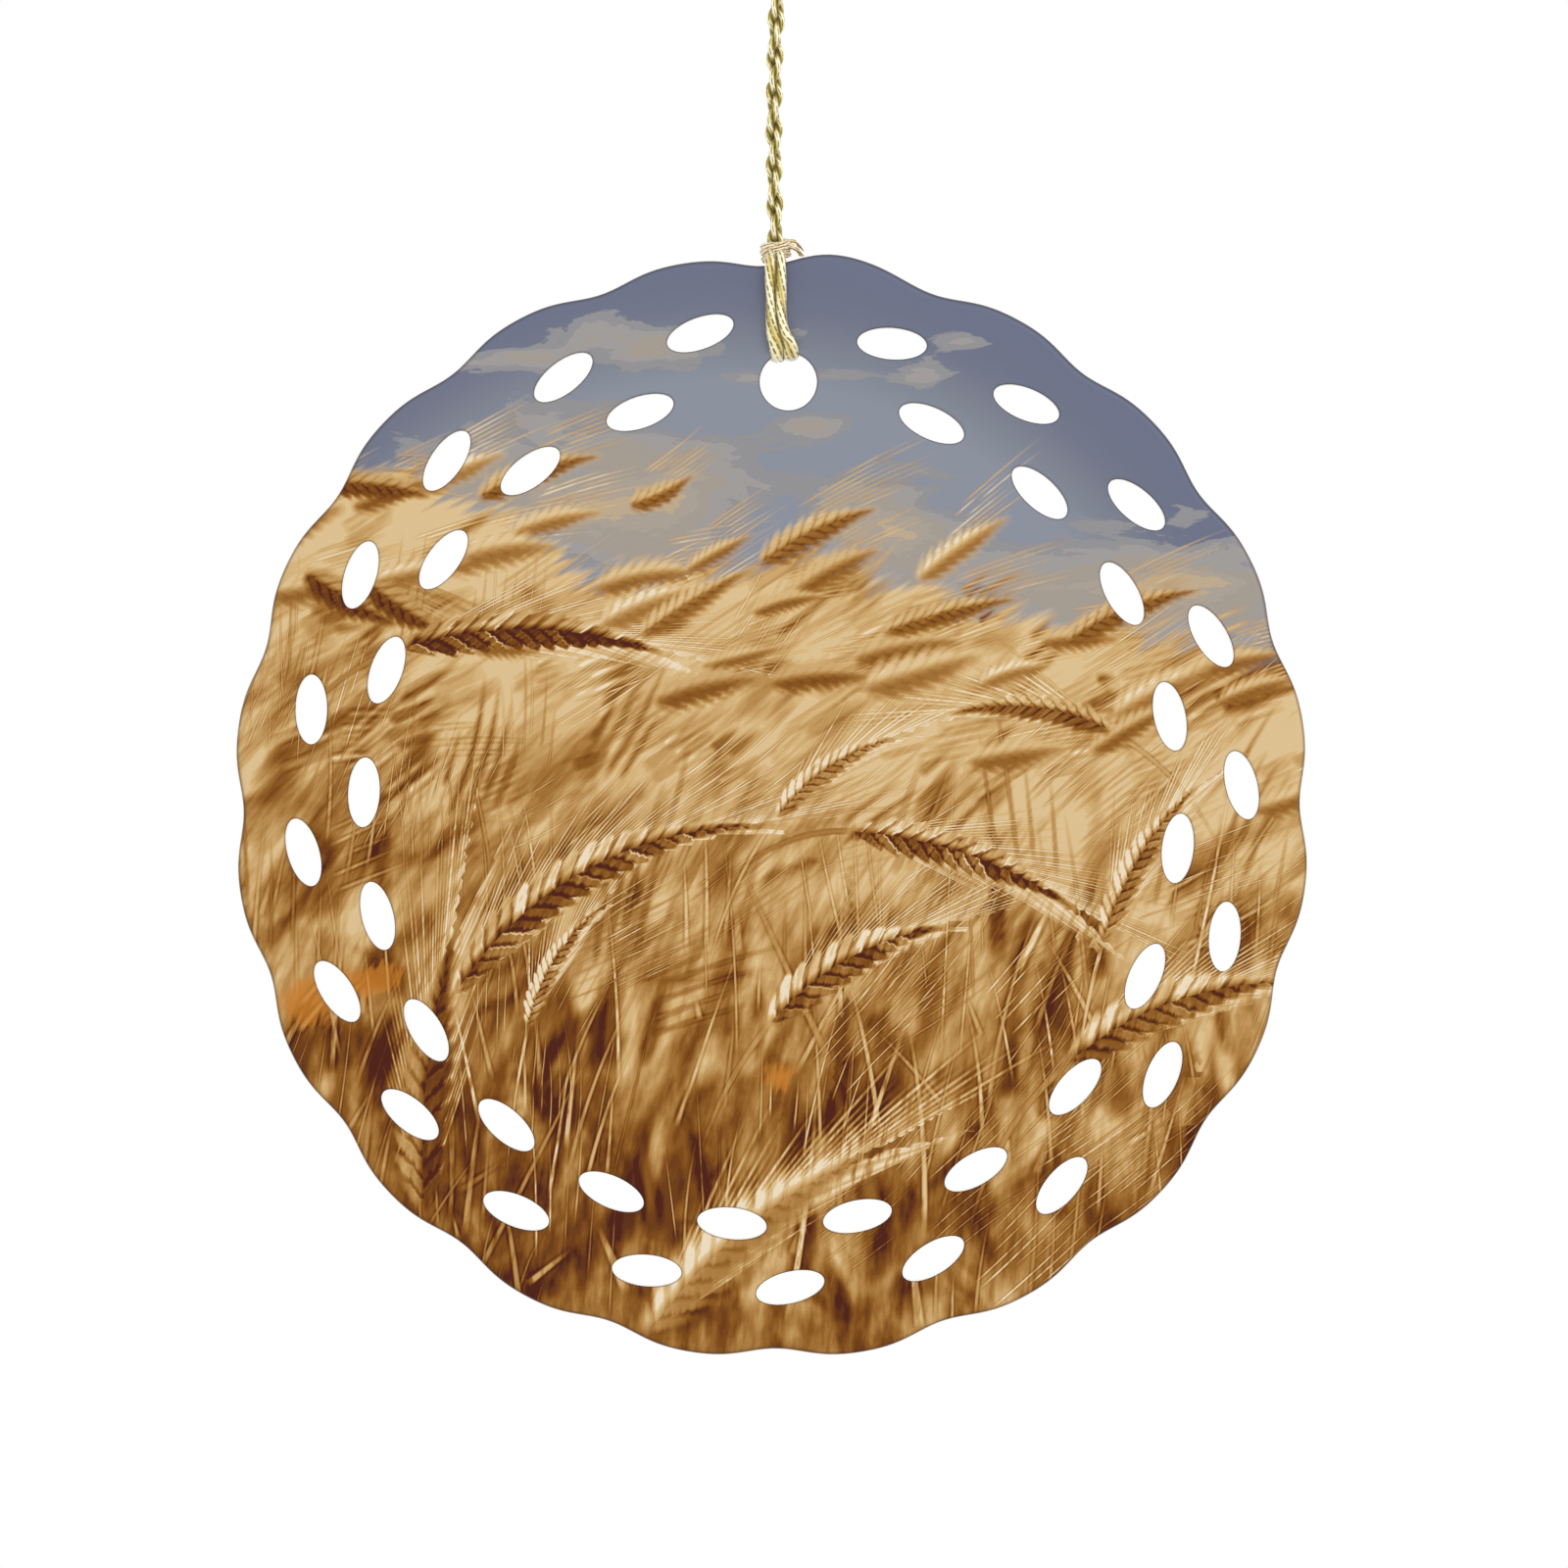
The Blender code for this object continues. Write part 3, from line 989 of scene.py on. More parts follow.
@dataclass(frozen=True)
class PrintedLines(InkLayer):
    """The lines of one sheaf or fan, each with its own place, length and tone.

    Each gets thinner towards its tip, is a little darker down both edges, and has a narrow
    dark gap beside it, as the straws have in the picture.
    """

    name: str = "printed_lines"
    vectors: tuple[str, ...] = ("Place", "Form", "Reach")
    shortening: Span = (0.0, 1.0, 0.5, 1.0)
    thinning: Span = (0.0, 1.0, 1.0, 0.35)
    latest_start: float = 0.45
    fade_in: Span = (0.0, 0.12, 0.0, 1.0)
    fade_out: Span = (1.0, 0.65, 0.0, 1.0)
    wear: Span = (0.34, 0.52, 0.45, 1.0)
    gap_depth: float = 0.16
    tone_range: float = 0.30
    edge_shade: float = 0.16

    def group(self) -> NodeTree:
        """Makes the group.

        Returns:
            The group's tree.
        """
        tree, node, inlet, vectors = self.begin()
        (line, reached, apart), (half_width, softness, base_tone), (longest, count, seed) = vectors
        number = node("Math:FLOOR", line)
        chance = node("TexWhiteNoise", node("CombineXYZ", number, seed, 0.0))
        red, green, blue = node("SeparateColor", chance.outputs["Color"]).outputs
        # Distance from the line's own middle, in mm. The middle wanders as far as there is room
        wander = node("Mix", node("Math:DIVIDE", reached, longest), red, blue)
        swing = node("MapRange", wander, 0.0, 1.0, -1.0, 1.0)
        filled = node("Math:DIVIDE", node("Math:ADD", half_width, softness), apart)
        room = node("MapRange", filled, 0.5, 0.0, 0.0, 0.5)
        middle = node("Math:MULTIPLY_ADD", swing, room, 0.5)
        off = node("Math:SUBTRACT", node("Math:FRACT", line), middle)
        away = node("Math:ABSOLUTE", node("Math:MULTIPLY", off, apart))
        # Share of the line's own length, which thins it towards its tip
        length = node("Math:MULTIPLY", longest, node("MapRange", green, *self.shortening))
        along = node("Math:DIVIDE", reached, length)
        half = node("Math:MULTIPLY", half_width, node("MapRange", along, *self.thinning))
        outer, inner = node("Math:ADD", half, softness), node("Math:SUBTRACT", half, softness)
        drawn = node("MapRange", away, outer, inner, interpolation_type="SMOOTHSTEP")
        # Loose lines each start at their own place, and an ear's awns all start at the ear
        late = node("Math:MULTIPLY", red, node("Math:GREATER_THAN", seed, 0.0))
        begun = node("Math:MULTIPLY_ADD", late, -self.latest_start, along)
        there = node("MapRange", inlet.outputs["Grain"], *self.wear)
        for part in (
            node("MapRange", begun, *self.fade_in),
            node("MapRange", along, *self.fade_out),
            node("Math:GREATER_THAN", number, -0.5),
            node("Math:LESS_THAN", number, count),
        ):
            there = node("Math:MULTIPLY", there, part)
        mask = node("Math:MULTIPLY", drawn, there)
        # A narrow dark gap sets each line off from what lies behind it
        gap = node("MapRange", away, node("Math:ADD", outer, half), outer, 0.0, self.gap_depth)
        behind = node("Math:SUBTRACT", inlet.outputs["Tone"], node("Math:MULTIPLY", gap, there))
        # A line is darker down both edges, and each has its own tone
        rounded = node("Math:POWER", node("Math:DIVIDE", away, outer), 2.0)
        tone = node("Math:MULTIPLY_ADD", node("Math:ADD", blue, -0.5), self.tone_range, base_tone)
        shade = node("Math:MULTIPLY_ADD", rounded, -self.edge_shade, tone)
        cover = node("Math:MAXIMUM", inlet.outputs["Cover"], mask)
        node("NodeGroupOutput", node("Mix", mask, behind, shade), cover)
        return tree


@dataclass(frozen=True)
class PrintedEar(InkLayer):
    """One ear: two rows of plump kernels, the one towards the light pale and the other dark.

    The more an ear is blurred, the softer its outline and the fainter its kernels.
    """

    name: str = "printed_ear"
    vectors: tuple[str, ...] = ("Place", "Form")
    kernel_lean: float = 1.35
    unevenness: Span = (0.3, 0.7, -0.16, 0.16)
    foot: Span = (0.0, 0.2, 0.45, 1.0)
    tip: Span = (0.5, 1.0, 1.0, 0.15)
    stand_out: Span = (0.0, 1.0, 0.66, 1.0)
    softness: Pair = (0.42, 0.10)
    fade_in: Span = (-0.02, 0.05, 0.0, 1.0)
    fade_out: Span = (1.02, 0.92, 0.0, 1.0)
    light: Span = (-0.40, 0.40, -0.20, 0.26)
    kernel_shade: Span = (0.15, 0.80, -0.30, 0.08)
    seam_shade: Span = (0.0, 0.30, -0.34, 0.0)
    kernel_tones: Span = (0.0, 1.0, -0.16, 0.14)
    husk_edge: Pair = (0.80, 0.07)
    husk_light: float = 0.52

    def group(self) -> NodeTree:
        """Makes the group.

        Returns:
            The group's tree.
        """
        tree, node, inlet, ((kernel, along, aside), (base_tone, blur, seed)) = self.begin()
        sharp = node("Math:SUBTRACT", 1.0, blur)
        across = node("Math:ABSOLUTE", aside)
        upper = node("Math:GREATER_THAN", aside, 0.0)
        # Kernels lean forward from the middle, and the rows are half a kernel apart
        grain = node("MapRange", inlet.outputs["Grain"], *self.unevenness)
        slid = node("Math:MULTIPLY_ADD", across, -self.kernel_lean, node("Math:ADD", grain, kernel))
        staggered = node("Math:MULTIPLY_ADD", upper, 0.5, slid)
        number, share = node("Math:FLOOR", staggered), node("Math:FRACT", staggered)
        row = node("Math:MULTIPLY_ADD", upper, 17.0, seed)
        chance = node("TexWhiteNoise", node("CombineXYZ", number, row, 0.0))
        bulge = node("Math:SINE", node("Math:MULTIPLY", share, math.pi))
        # Outline: kernels stand out from an ear that is slim at its foot and its tip
        foot = node("MapRange", along, *self.foot, interpolation_type="SMOOTHSTEP")
        tip = node("MapRange", along, *self.tip, interpolation_type="SMOOTHSTEP")
        slim = node("Math:MULTIPLY", foot, tip)
        edge = node("Math:MULTIPLY", slim, node("MapRange", bulge, *self.stand_out))
        soft = node("Math:MULTIPLY_ADD", blur, *self.softness)
        outer, inner = node("Math:ADD", edge, soft), node("Math:SUBTRACT", edge, soft)
        mask = node("MapRange", across, outer, inner, interpolation_type="SMOOTHSTEP")
        for part in (
            node("MapRange", along, *self.fade_in),
            node("MapRange", along, *self.fade_out),
            node("Math:GREATER_THAN", base_tone, 0.0),
        ):
            mask = node("Math:MULTIPLY", mask, part)
        # Shade: the row towards the light is pale, the other row lies in its own shadow
        lit = node("MapRange", aside, *self.light, interpolation_type="SMOOTHSTEP")
        ridge = node("MapRange", bulge, *self.kernel_shade)
        seam = node("MapRange", across, *self.seam_shade)
        rough = node("Math:ADD", node("Math:ADD", ridge, seam), grain)
        # What ends at a kernel's outline goes first when an ear is out of focus
        husk_edge = node("Math:COMPARE", share, *self.husk_edge)
        husk = node("Math:MULTIPLY", husk_edge, node("Math:MULTIPLY", chance, self.husk_light))
        outlined = node("Math:ADD", husk, node("MapRange", chance, *self.kernel_tones))
        detail = node("Math:MULTIPLY_ADD", outlined, node("Math:POWER", sharp, 3.0), rough)
        fine = node("Math:MULTIPLY_ADD", detail, sharp, lit)
        tone = node("Math:ADD", base_tone, fine)
        cover = node("Math:MAXIMUM", inlet.outputs["Cover"], mask)
        node("NodeGroupOutput", node("Mix", mask, inlet.outputs["Tone"], tone), cover)
        return tree


@dataclass(frozen=True)
class FieldPrint:
    """Ink that was sublimed into the glaze's clear coat, under a soft gloss.

    The picture is printed in rather few flat tones, so soft changes in it break into steps.
    The ink lies in the coat, so the gloss is the same over dark and light.
    """

    glaze: GlazedCeramic
    straw_layers: int
    ear_layers: int
    lines: PrintedLines = PrintedLines()
    ears: PrintedEar = PrintedEar()
    roughness: float = 0.32
    gloss: float = 0.14
    tone_steps: float = 13.0
    step_share: float = 0.6
    contrast: float = 1.09
    middle_tone: float = 0.56
    mass_share: float = 1.2
    grain_share: float = 0.4
    mean_noise: float = 1.30
    unevenness: float = 1.15
    brightest: Pair = (0.885, 0.08)
    field_edge: Triple = (5.0, -0.6, 0.6)
    mass_mm: Pair = (3.846, 5.882)
    streak_mm: Pair = (1.4286, 4.5455)
    grain_mm: Pair = (0.41667, 2.381)
    billow_mm: Pair = (9.091, 3.3333)
    billow_slope: float = -0.3
    billow_swing: Pair = (2.0, -1.36)
    cloud_edge: float = 0.05
    sky_middle: Pair = (-3.0, -1.4)
    sky_darkens: Pair = (30.2, 37.2)
    straw: Stops = (
        (0.00, "#4A1400"), (0.12, "#633000"), (0.26, "#7A4600"), (0.38, "#8E5C1C"),
        (0.50, "#A17133"), (0.62, "#B3874B"), (0.74, "#C39C62"), (0.86, "#D2B17B"),
        (0.94, "#DABF92"), (1.00, "#E7D7BC"),
    )
    sky_blue: Stops = (
        (0.00, "#686E84"), (0.30, "#6D7285"), (0.60, "#797E8C"), (1.00, "#868C99"),
    )
    cloud: Stops = (
        (0.00, "#8E8D90"), (0.24, "#9A9796"), (0.46, "#9F968D"), (0.70, "#A59B90"),
        (0.92, "#B7A48A"),
    )
    amber: str = "#C87A20"
    amber_tear: float = 1.6
    amber_edge: Span = (1.15, 1.40, 0.0, 0.62)
    # Painted shade along the rounded edges, multiplied over the print
    painted_edge_shade: str = "#A2948A"

    def blurred_field(self, node: Adder, ground: Sequence[Any]) -> tuple[Any, Any, Any]:
        """Draws the field behind the straws: blurred masses, and streaks along its growth.

        Args:
            node: The function that adds nodes to the material.
            ground: The ground's tone, streakiness and depth.

        Returns:
            The tone, how much the field covers the sky, and a fine grain.
        """
        base_tone, streakiness, depth = ground
        flow = node("Attribute", attribute_name="print_flow").outputs["Vector"]
        noises = []
        for (wide, long), detail, unevenness, swirl in (
            (self.mass_mm, 2.0, 0.5, 0.8),
            (self.streak_mm, 3.0, 0.55, 0.0),
            (self.grain_mm, 3.0, 0.6, 0.0),
        ):
            drawn_out = node("VectorMath:MULTIPLY", flow, (1 / wide, 1 / long, 1.0))
            noises.append(node("TexNoise", drawn_out, 1.0, detail, unevenness, 2.0, swirl))
        masses, streaks, grain = noises
        two = node("Math:MULTIPLY_ADD", masses, self.mass_share, streaks)
        three = node("Math:MULTIPLY_ADD", grain, self.grain_share, two)
        centred = node("Math:ADD", three, -self.mean_noise)
        swing = node("Math:MULTIPLY", centred, streakiness)
        uneven = node("Math:MULTIPLY_ADD", swing, self.unevenness, base_tone)
        # The brightest blurred places all end in one flat sand tone
        tone = node("Math:SMOOTH_MIN", uneven, *self.brightest)
        jags, first, full = self.field_edge
        cover = node("MapRange", node("Math:MULTIPLY_ADD", centred, jags, depth), first, full)
        return tone, cover, grain

    def sky(self, node: Adder, cloudiness: Any) -> Any:
        """Draws the sky: slate blue that darkens towards the rim, with torn flat-toned clouds.

        Args:
            node: The function that adds nodes to the material.
            cloudiness: The node or socket of how much cloud there is.

        Returns:
            The sky's colour.
        """
        place = node("Attribute", attribute_name="print_place").outputs["Vector"]
        away = node("VectorMath:DISTANCE", place, (*self.sky_middle, 0.0))
        fall = node("MapRange", away, *self.sky_darkens, 1.0, 0.0)
        blue = node("ValToRGB", fall, stops=self.sky_blue)
        leaning = node("VectorRotate", place, None, None, self.billow_slope, rotation_type="Z_AXIS")
        wide, high = self.billow_mm
        torn = node("VectorMath:MULTIPLY", leaning, (1 / wide, 1 / high, 1.0))
        billows = node("TexNoise", torn, 1.0, 5.0, 0.60, 2.1, 0.5)
        ragged = node("Math:MULTIPLY_ADD", billows, *self.billow_swing)
        amount = node("Math:ADD", cloudiness, ragged)
        shade = node("ValToRGB", amount, stops=self.cloud)
        shade.color_ramp.interpolation = "CONSTANT"
        share = node("MapRange", amount, 0.0, self.cloud_edge)
        return node("Mix", share, blue, shade, data_type="RGBA")

    def material(self) -> Material:
        """Makes the print for the disc's front.

        Returns:
            The material.
        """
        material, node = new_material("sublimation_print")
        ground, (amber, cloudiness, ink) = (
            node("SeparateXYZ", node("Attribute", attribute_name=name).outputs["Vector"]).outputs
            for name in ("print_ground", "print_tint")
        )
        tone, cover, grain = self.blurred_field(node, ground)
        for name, layers, parts, group in (
            ("straw", self.straw_layers, ("place", "form_0", "form_1"), self.lines.group()),
            ("ear", self.ear_layers, ("place", "form_0"), self.ears.group()),
        ):
            for layer in range(layers):
                read = [
                    node("Attribute", attribute_name=f"{name}_{layer}_{part}").outputs["Vector"]
                    for part in parts
                ]
                drawn = node("Group", tone, cover, grain, *read, node_tree=group)
                tone, cover = drawn.outputs["Tone"], drawn.outputs["Cover"]
        # A little more contrast, and the print's flat steps
        swing = node("Math:ADD", tone, -self.middle_tone)
        strong = node("Math:MULTIPLY_ADD", swing, self.contrast, self.middle_tone)
        whole = node("Math:ROUND", node("Math:MULTIPLY", strong, self.tone_steps))
        flat = node("Math:DIVIDE", whole, self.tone_steps)
        straw = node("ValToRGB", node("Mix", self.step_share, strong, flat), stops=self.straw)
        torn = node("Math:MULTIPLY_ADD", grain, self.amber_tear, amber)
        warm = node("MapRange", torn, *self.amber_edge)
        dyed = node("Mix", warm, straw, linear(self.amber), data_type="RGBA")
        picture = node("Mix", cover, self.sky(node, cloudiness), dyed, data_type="RGBA")
        # Painted shade: the print darkens where it turns over an edge, as a line about 0.1 mm wide
        bent = node("Attribute", attribute_name="print_edge").outputs["Fac"]
        edge_shade_colour = linear(self.painted_edge_shade)
        edge_shaded = node("Mix", bent, picture, edge_shade_colour, data_type="RGBA", blend_type="MULTIPLY")
        white = linear(self.glaze.white)
        printed = node("Mix", ink, white, edge_shaded, data_type="RGBA")
        looks = {"Base Color": printed, "Roughness": self.roughness, "IOR": self.glaze.ior}
        return dress(material, looks | {"Specular IOR Level": self.gloss})


class Surface(Enum):
    """The disc's two finishes, in the order of its material slots."""

    PRINT = 0
    GLAZE = 1


def in_between(before: Array, here: Array, after: Array, beyond: Array, steps: int) -> Array:
    """Puts points on the smooth curve from each bend to the next.

    Args:
        before: The bend before each one.
        here: Each bend.
        after: The bend after it.
        beyond: The bend after that.
        steps: How many points stand for each bend, itself the first of them.

    Returns:
        The points, one to a row.
    """
    made = []
    for t in np.arange(steps) / steps:
        square = (2 * before - 5 * here + 4 * after - beyond) * t**2
        cube = (3 * here - before - 3 * after + beyond) * t**3
        made.append((2 * here + (after - before) * t + square + cube) / 2)
    return np.stack(made, axis=1).reshape(-1, here.shape[1])


def smooth_closed(points: Array, steps: int) -> Array:
    """Makes a closed loop finer, along the smooth curve through its points.

    Args:
        points: The loop's points.
        steps: How many points stand for each of them afterwards.

    Returns:
        The finer loop.
    """
    before, after, beyond = (np.roll(points, shift, axis=0) for shift in (1, -1, -2))
    return in_between(before, points, after, beyond, steps)


def polar(points: Array, middle: Array) -> tuple[Array, Array]:
    """Gives each point's direction from a middle, in radians, and its distance from it."""
    out = points - middle
    return np.arctan2(out[:, 1], out[:, 0]), np.hypot(out[:, 0], out[:, 1])


def clearance(loop: Array, points: Array) -> Array:
    """Measures how far points lie outside a loop, outwards from its middle.

    Args:
        loop: The loop's points.
        points: The points.

    Returns:
        Each point's distance from the loop, below 0 within it.
    """
    middle = loop.mean(axis=0)
    turns, reach = polar(loop, middle)
    order = np.argsort(turns)
    angles, away = polar(points, middle)
    return away - np.interp(angles, turns[order], reach[order], period=2 * math.pi)


@dataclass(frozen=True)
class Edge:
    """One closed edge of the disc, with a wall whose front and back corners are rounded."""

    loop: Array
    solid_side: int
    radius: float
    steps: int

    def into_solid(self) -> Array:
        """Gives the direction from each point of the loop into the solid.

        Returns:
            Unit directions in the face, one to a row.
        """
        ahead = np.roll(self.loop, -1, axis=0) - np.roll(self.loop, 1, axis=0)
        ahead /= np.linalg.norm(ahead, axis=1, keepdims=True)
        return self.solid_side * np.stack([-ahead[:, 1], ahead[:, 0]], 1)

    def rows(self, thickness: float) -> tuple[Array, Array]:
        """Makes the rows of points down the wall, from the front face to the back face.

        Args:
            thickness: The disc's thickness in mm.

        Returns:
            The rows' points, and the surface's direction at each, as X, Y and Z.
        """
        inward = self.into_solid()
        places, ways = [], []
        for step in range(self.steps + 1):
            turn = math.pi / 2 * step / self.steps
            face = self.loop + inward * self.radius * (1 - math.sin(turn))
            depth = np.full(len(face), -thickness / 2 + self.radius * (1 - math.cos(turn)))
            out = -inward * math.sin(turn)
            places.append(np.stack([face[:, 0], depth, face[:, 1]], 1))
            ways.append(np.stack([out[:, 0], np.full(len(out), -math.cos(turn)), out[:, 1]], 1))
        flip = np.array([1.0, -1.0, 1.0])
        places += [row * flip for row in reversed(places)]
        ways += [row * flip for row in reversed(ways)]
        return np.array(places), np.array(ways)

    def quads(self, first: int) -> Array:
        """Makes the wall's faces.

        Args:
            first: The number of its first point.

        Returns:
            Four point numbers for each face, outwards round it.
        """
        count, rows = len(self.loop), 2 * self.steps + 2
        grid = first + np.arange(rows * count).reshape(rows, count)
        after = np.roll(grid, -1, axis=1)
        faces = np.stack([grid[:-1], grid[1:], after[1:], after[:-1]], 2).reshape(-1, 4)
        return faces if self.solid_side > 0 else faces[:, ::-1]


@dataclass
class CeramicDisc:
    """The pierced and printed disc, made finely on the outlines of its own solid.

    Sizes are in mm. The two rings of ovals and the hanging hole are read from the solid, so
    they stay exactly where it has them.
    """

    node: str = "ceramic_disc"
    slot: str = "printed_ceramic"
    hole_from_centre: Pair = (1.12, 28.71)
    rim_radius: float = 0.5
    rim_fineness: int = 2
    rim_steps: int = 6
    hole_radius: float = 0.22
    hole_points: int = 40
    hole_steps: int = 3
    grid: float = 0.42
    # How far the net of points stays clear of the rim and of the holes, as shares of its grid
    net_clears: Pair = (0.6, 0.5)
    print_wraps_to: Pair = (0.42, 0.12)
    # Painted shade over the rounded edges: how far the surface has turned from the front where it
    # starts and where it is full
    edge_shade_reach: Pair = (0.12, 0.50)
    wall_slope: float = 0.02
    weld_m: float = 1e-6
    tolerance: float = 1e-6
    picture: FieldPicture = field(default_factory=FieldPicture)
    glaze: GlazedCeramic = field(default_factory=GlazedCeramic)

    def wall_loops(self) -> list[Array]:
        """Reads the front ends of the solid's straight walls.

        Returns:
            Closed loops of X and Z in mm, the rim first.
        """
        solid = bmesh.new()
        solid.from_mesh(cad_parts[self.node].data)
        bmesh.ops.remove_doubles(solid, verts=solid.verts, dist=self.weld_m)
        solid.normal_update()
        walls = {face for face in solid.faces if abs(face.normal.y) < self.wall_slope}
        beside: dict[bmesh.types.BMVert, list[bmesh.types.BMVert]] = {}
        for edge in solid.edges:
            a, b = edge.verts
            if a.co.y < 0 and b.co.y < 0 and sum(face in walls for face in edge.link_faces) == 1:
                beside.setdefault(a, []).append(b)
                beside.setdefault(b, []).append(a)
        loops = []
        while beside:
            here, neighbours = beside.popitem()
            chain = [here]
            ahead = neighbours[0]
            while ahead in beside:
                chain.append(ahead)
                ahead = next((v for v in beside.pop(ahead) if v in beside), here)
            loops.append(np.array([(v.co.x, v.co.z) for v in chain]) / MM)
        solid.free()
        return sorted(loops, key=lambda loop: -np.ptp(loop[:, 0]))

    def oval(self, loop: Array) -> Array:
        """Makes a fine oval of the same place, lean and size as a coarse loop.

        Args:
            loop: The coarse loop's points.

        Returns:
            The oval's points, anticlockwise.
        """
        middle = loop.mean(axis=0)
        spread, ways = np.linalg.eigh(np.cov((loop - middle).T, bias=True))
        angles = np.linspace(0, 2 * math.pi, self.hole_points, endpoint=False)
        turned = np.linalg.det(ways)
        reach = np.stack([np.cos(angles), turned * np.sin(angles)], 1) * np.sqrt(2 * spread)
        return middle + reach @ ways.T

    def edges(self) -> list[Edge]:
        """Makes the disc's edges, in mm in the row frame.

        Returns:
            The rim, and after it the holes.
        """
        rim, *holes = self.wall_loops()
        area = (rim[:, 0] * np.roll(rim[:, 1], -1) - rim[:, 1] * np.roll(rim[:, 0], -1)).sum()
        fine = smooth_closed(rim if area > 0 else rim[::-1], self.rim_fineness)
        return [
            Edge(fine, 1, self.rim_radius, self.rim_steps),
            *(Edge(self.oval(loop), -1, self.hole_radius, self.hole_steps) for loop in holes),
        ]

    def centre(self, edges: Sequence[Edge]) -> Array:
        """Gives the disc's centre in mm, which lies a known way from the hanging hole."""
        roundest = min(edges[1:], key=lambda edge: abs(np.ptp(edge.loop, axis=0) @ (1, -1)))
        return roundest.loop.mean(axis=0) - self.hole_from_centre

    def inner_points(self, edges: Sequence[Edge]) -> Array:
        """Lays an even net of points over the face, clear of its edges.

        Args:
            edges: The rim and the holes.

        Returns:
            The points, in rows that are shifted by turns so that the net's faces are even.
        """
        rim = edges[0].loop
        reach = np.ptp(rim, axis=0).max() / 2
        rows = np.arange(-reach, reach, self.grid * math.sqrt(3) / 2)
        columns = np.arange(-reach, reach, self.grid)
        shift = np.where(np.arange(len(rows)) % 2 == 0, 0.0, self.grid / 2)
        across, up = np.broadcast_arrays(columns[None, :] + shift[:, None], rows[:, None])
        net = np.stack([across, up], 2).reshape(-1, 2) + rim.mean(axis=0)
        net = net[clearance(rim, net) < -self.rim_radius - self.net_clears[0] * self.grid]
        for edge in edges[1:]:
            near = self.hole_radius + self.net_clears[1] * self.grid
            net = net[clearance(edge.loop, net) > near]
        return net

    def fill(self, borders: Sequence[Array], inner: Array) -> Array:
        """Fills a face between the rim and the holes with triangles.

        Args:
            borders: The face's closed borders, the rim first.
            inner: Points within the face.

        Returns:
            Triangles that count through the borders' points and then the inner ones,
            anticlockwise as seen from the front.
        """
        points = np.concatenate([*borders, inner])
        owner = np.full(len(points), -1)
        links: list[tuple[int, int]] = []
        first = 0
        for number, border in enumerate(borders):
            ring = range(first, first + len(border))
            owner[first : first + len(border)] = number
            links += list(zip(ring, [*ring[1:], first]))
            first += len(border)
        result = delaunay_2d_cdt([Vector(p) for p in points], links, [], 1, self.tolerance)
        source = np.array([found[0] for found in result[3]])
        faces = source[np.array(result[2])]
        owners = owner[faces]
        in_hole = (owners[:, 0] > 0) & (np.ptp(owners, axis=1) == 0)
        faces = faces[~in_hole]
        a, b, c = (points[faces[:, corner]] for corner in range(3))
        turned = (b - a)[:, 0] * (c - a)[:, 1] - (b - a)[:, 1] * (c - a)[:, 0] < 0
        faces[turned] = faces[turned, ::-1]
        return faces

    def shell(self, edges: Sequence[Edge], thickness: float) -> tuple[Array, ...]:
        """Makes the disc's points and faces.

        Args:
            edges: The rim and the holes.
            thickness: The disc's thickness.

        Returns:
            The points in mm, the surface's direction at each, and the faces of the front, of
            the walls and of the back.
        """
        inner = self.inner_points(edges)
        places, ways, walls, first = [], [], [], 0
        fronts, backs = [], []
        for edge in edges:
            rows, normals = edge.rows(thickness)
            count = len(edge.loop)
            past = first + len(rows) * count
            fronts.append(np.arange(first, first + count))
            backs.append(np.arange(past - count, past))
            places.append(rows.reshape(-1, 3))
            ways.append(normals.reshape(-1, 3))
            walls.append(edge.quads(first))
            first = past
        net = np.stack([inner[:, 0], np.full(len(inner), -thickness / 2), inner[:, 1]], 1)
        points = np.concatenate([*places, net])
        normals = np.concatenate([*ways, np.tile((0.0, -1.0, 0.0), (len(inner), 1))])
        flat = points[:, [0, 2]]
        numbers = np.concatenate([*fronts, np.arange(first, first + len(inner))])
        front = numbers[self.fill([flat[ring] for ring in fronts], inner)]
        nothing = np.empty((0, 2))
        back = np.concatenate(backs)[self.fill([flat[ring] for ring in backs], nothing)][:, ::-1]
        return points, normals, front, np.concatenate(walls), back

    def build(self) -> Array:
        """Builds and dresses the disc.

        Returns:
            Its centre in mm.
        """
        low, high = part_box(self.node)
        edges = self.edges()
        centre = self.centre(edges)
        points, normals, front, walls, back = self.shell(edges, (high[1] - low[1]) / MM)
        mesh = bpy.data.meshes.new("pierced_disc")
        mesh.from_pydata((points * MM).tolist(), [], front.tolist() + walls.tolist() + back.tolist())
        mesh.shade_smooth()
        mesh.normals_split_custom_set_from_vertices(normals.tolist())
        ink = np.interp(-normals[:, 1], self.print_wraps_to[::-1], (0.0, 1.0))
        surface = np.full(len(mesh.polygons), Surface.GLAZE.value, np.int32)
        surface[: len(front)] = Surface.PRINT.value
        surface[len(front) : -len(back)][ink[walls].max(axis=1) > 0] = Surface.PRINT.value
        mesh.polygons.foreach_set("material_index", surface)
        # Painted shade on the rounded edges, full where the surface has turned well away from the front
        bent = np.interp(1 + normals[:, 1], self.edge_shade_reach, (0.0, 1.0))
        self.picture.print_on(mesh, points[:, [0, 2]] - centre, ink, bent)
        ink_print = FieldPrint(self.glaze, self.picture.straw_layers, self.picture.ear_layers)
        disc = new_object("pierced_disc", mesh, ink_print.material(), self.glaze.material())
        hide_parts(self.node)
        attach(disc, ROOT)
        return centre


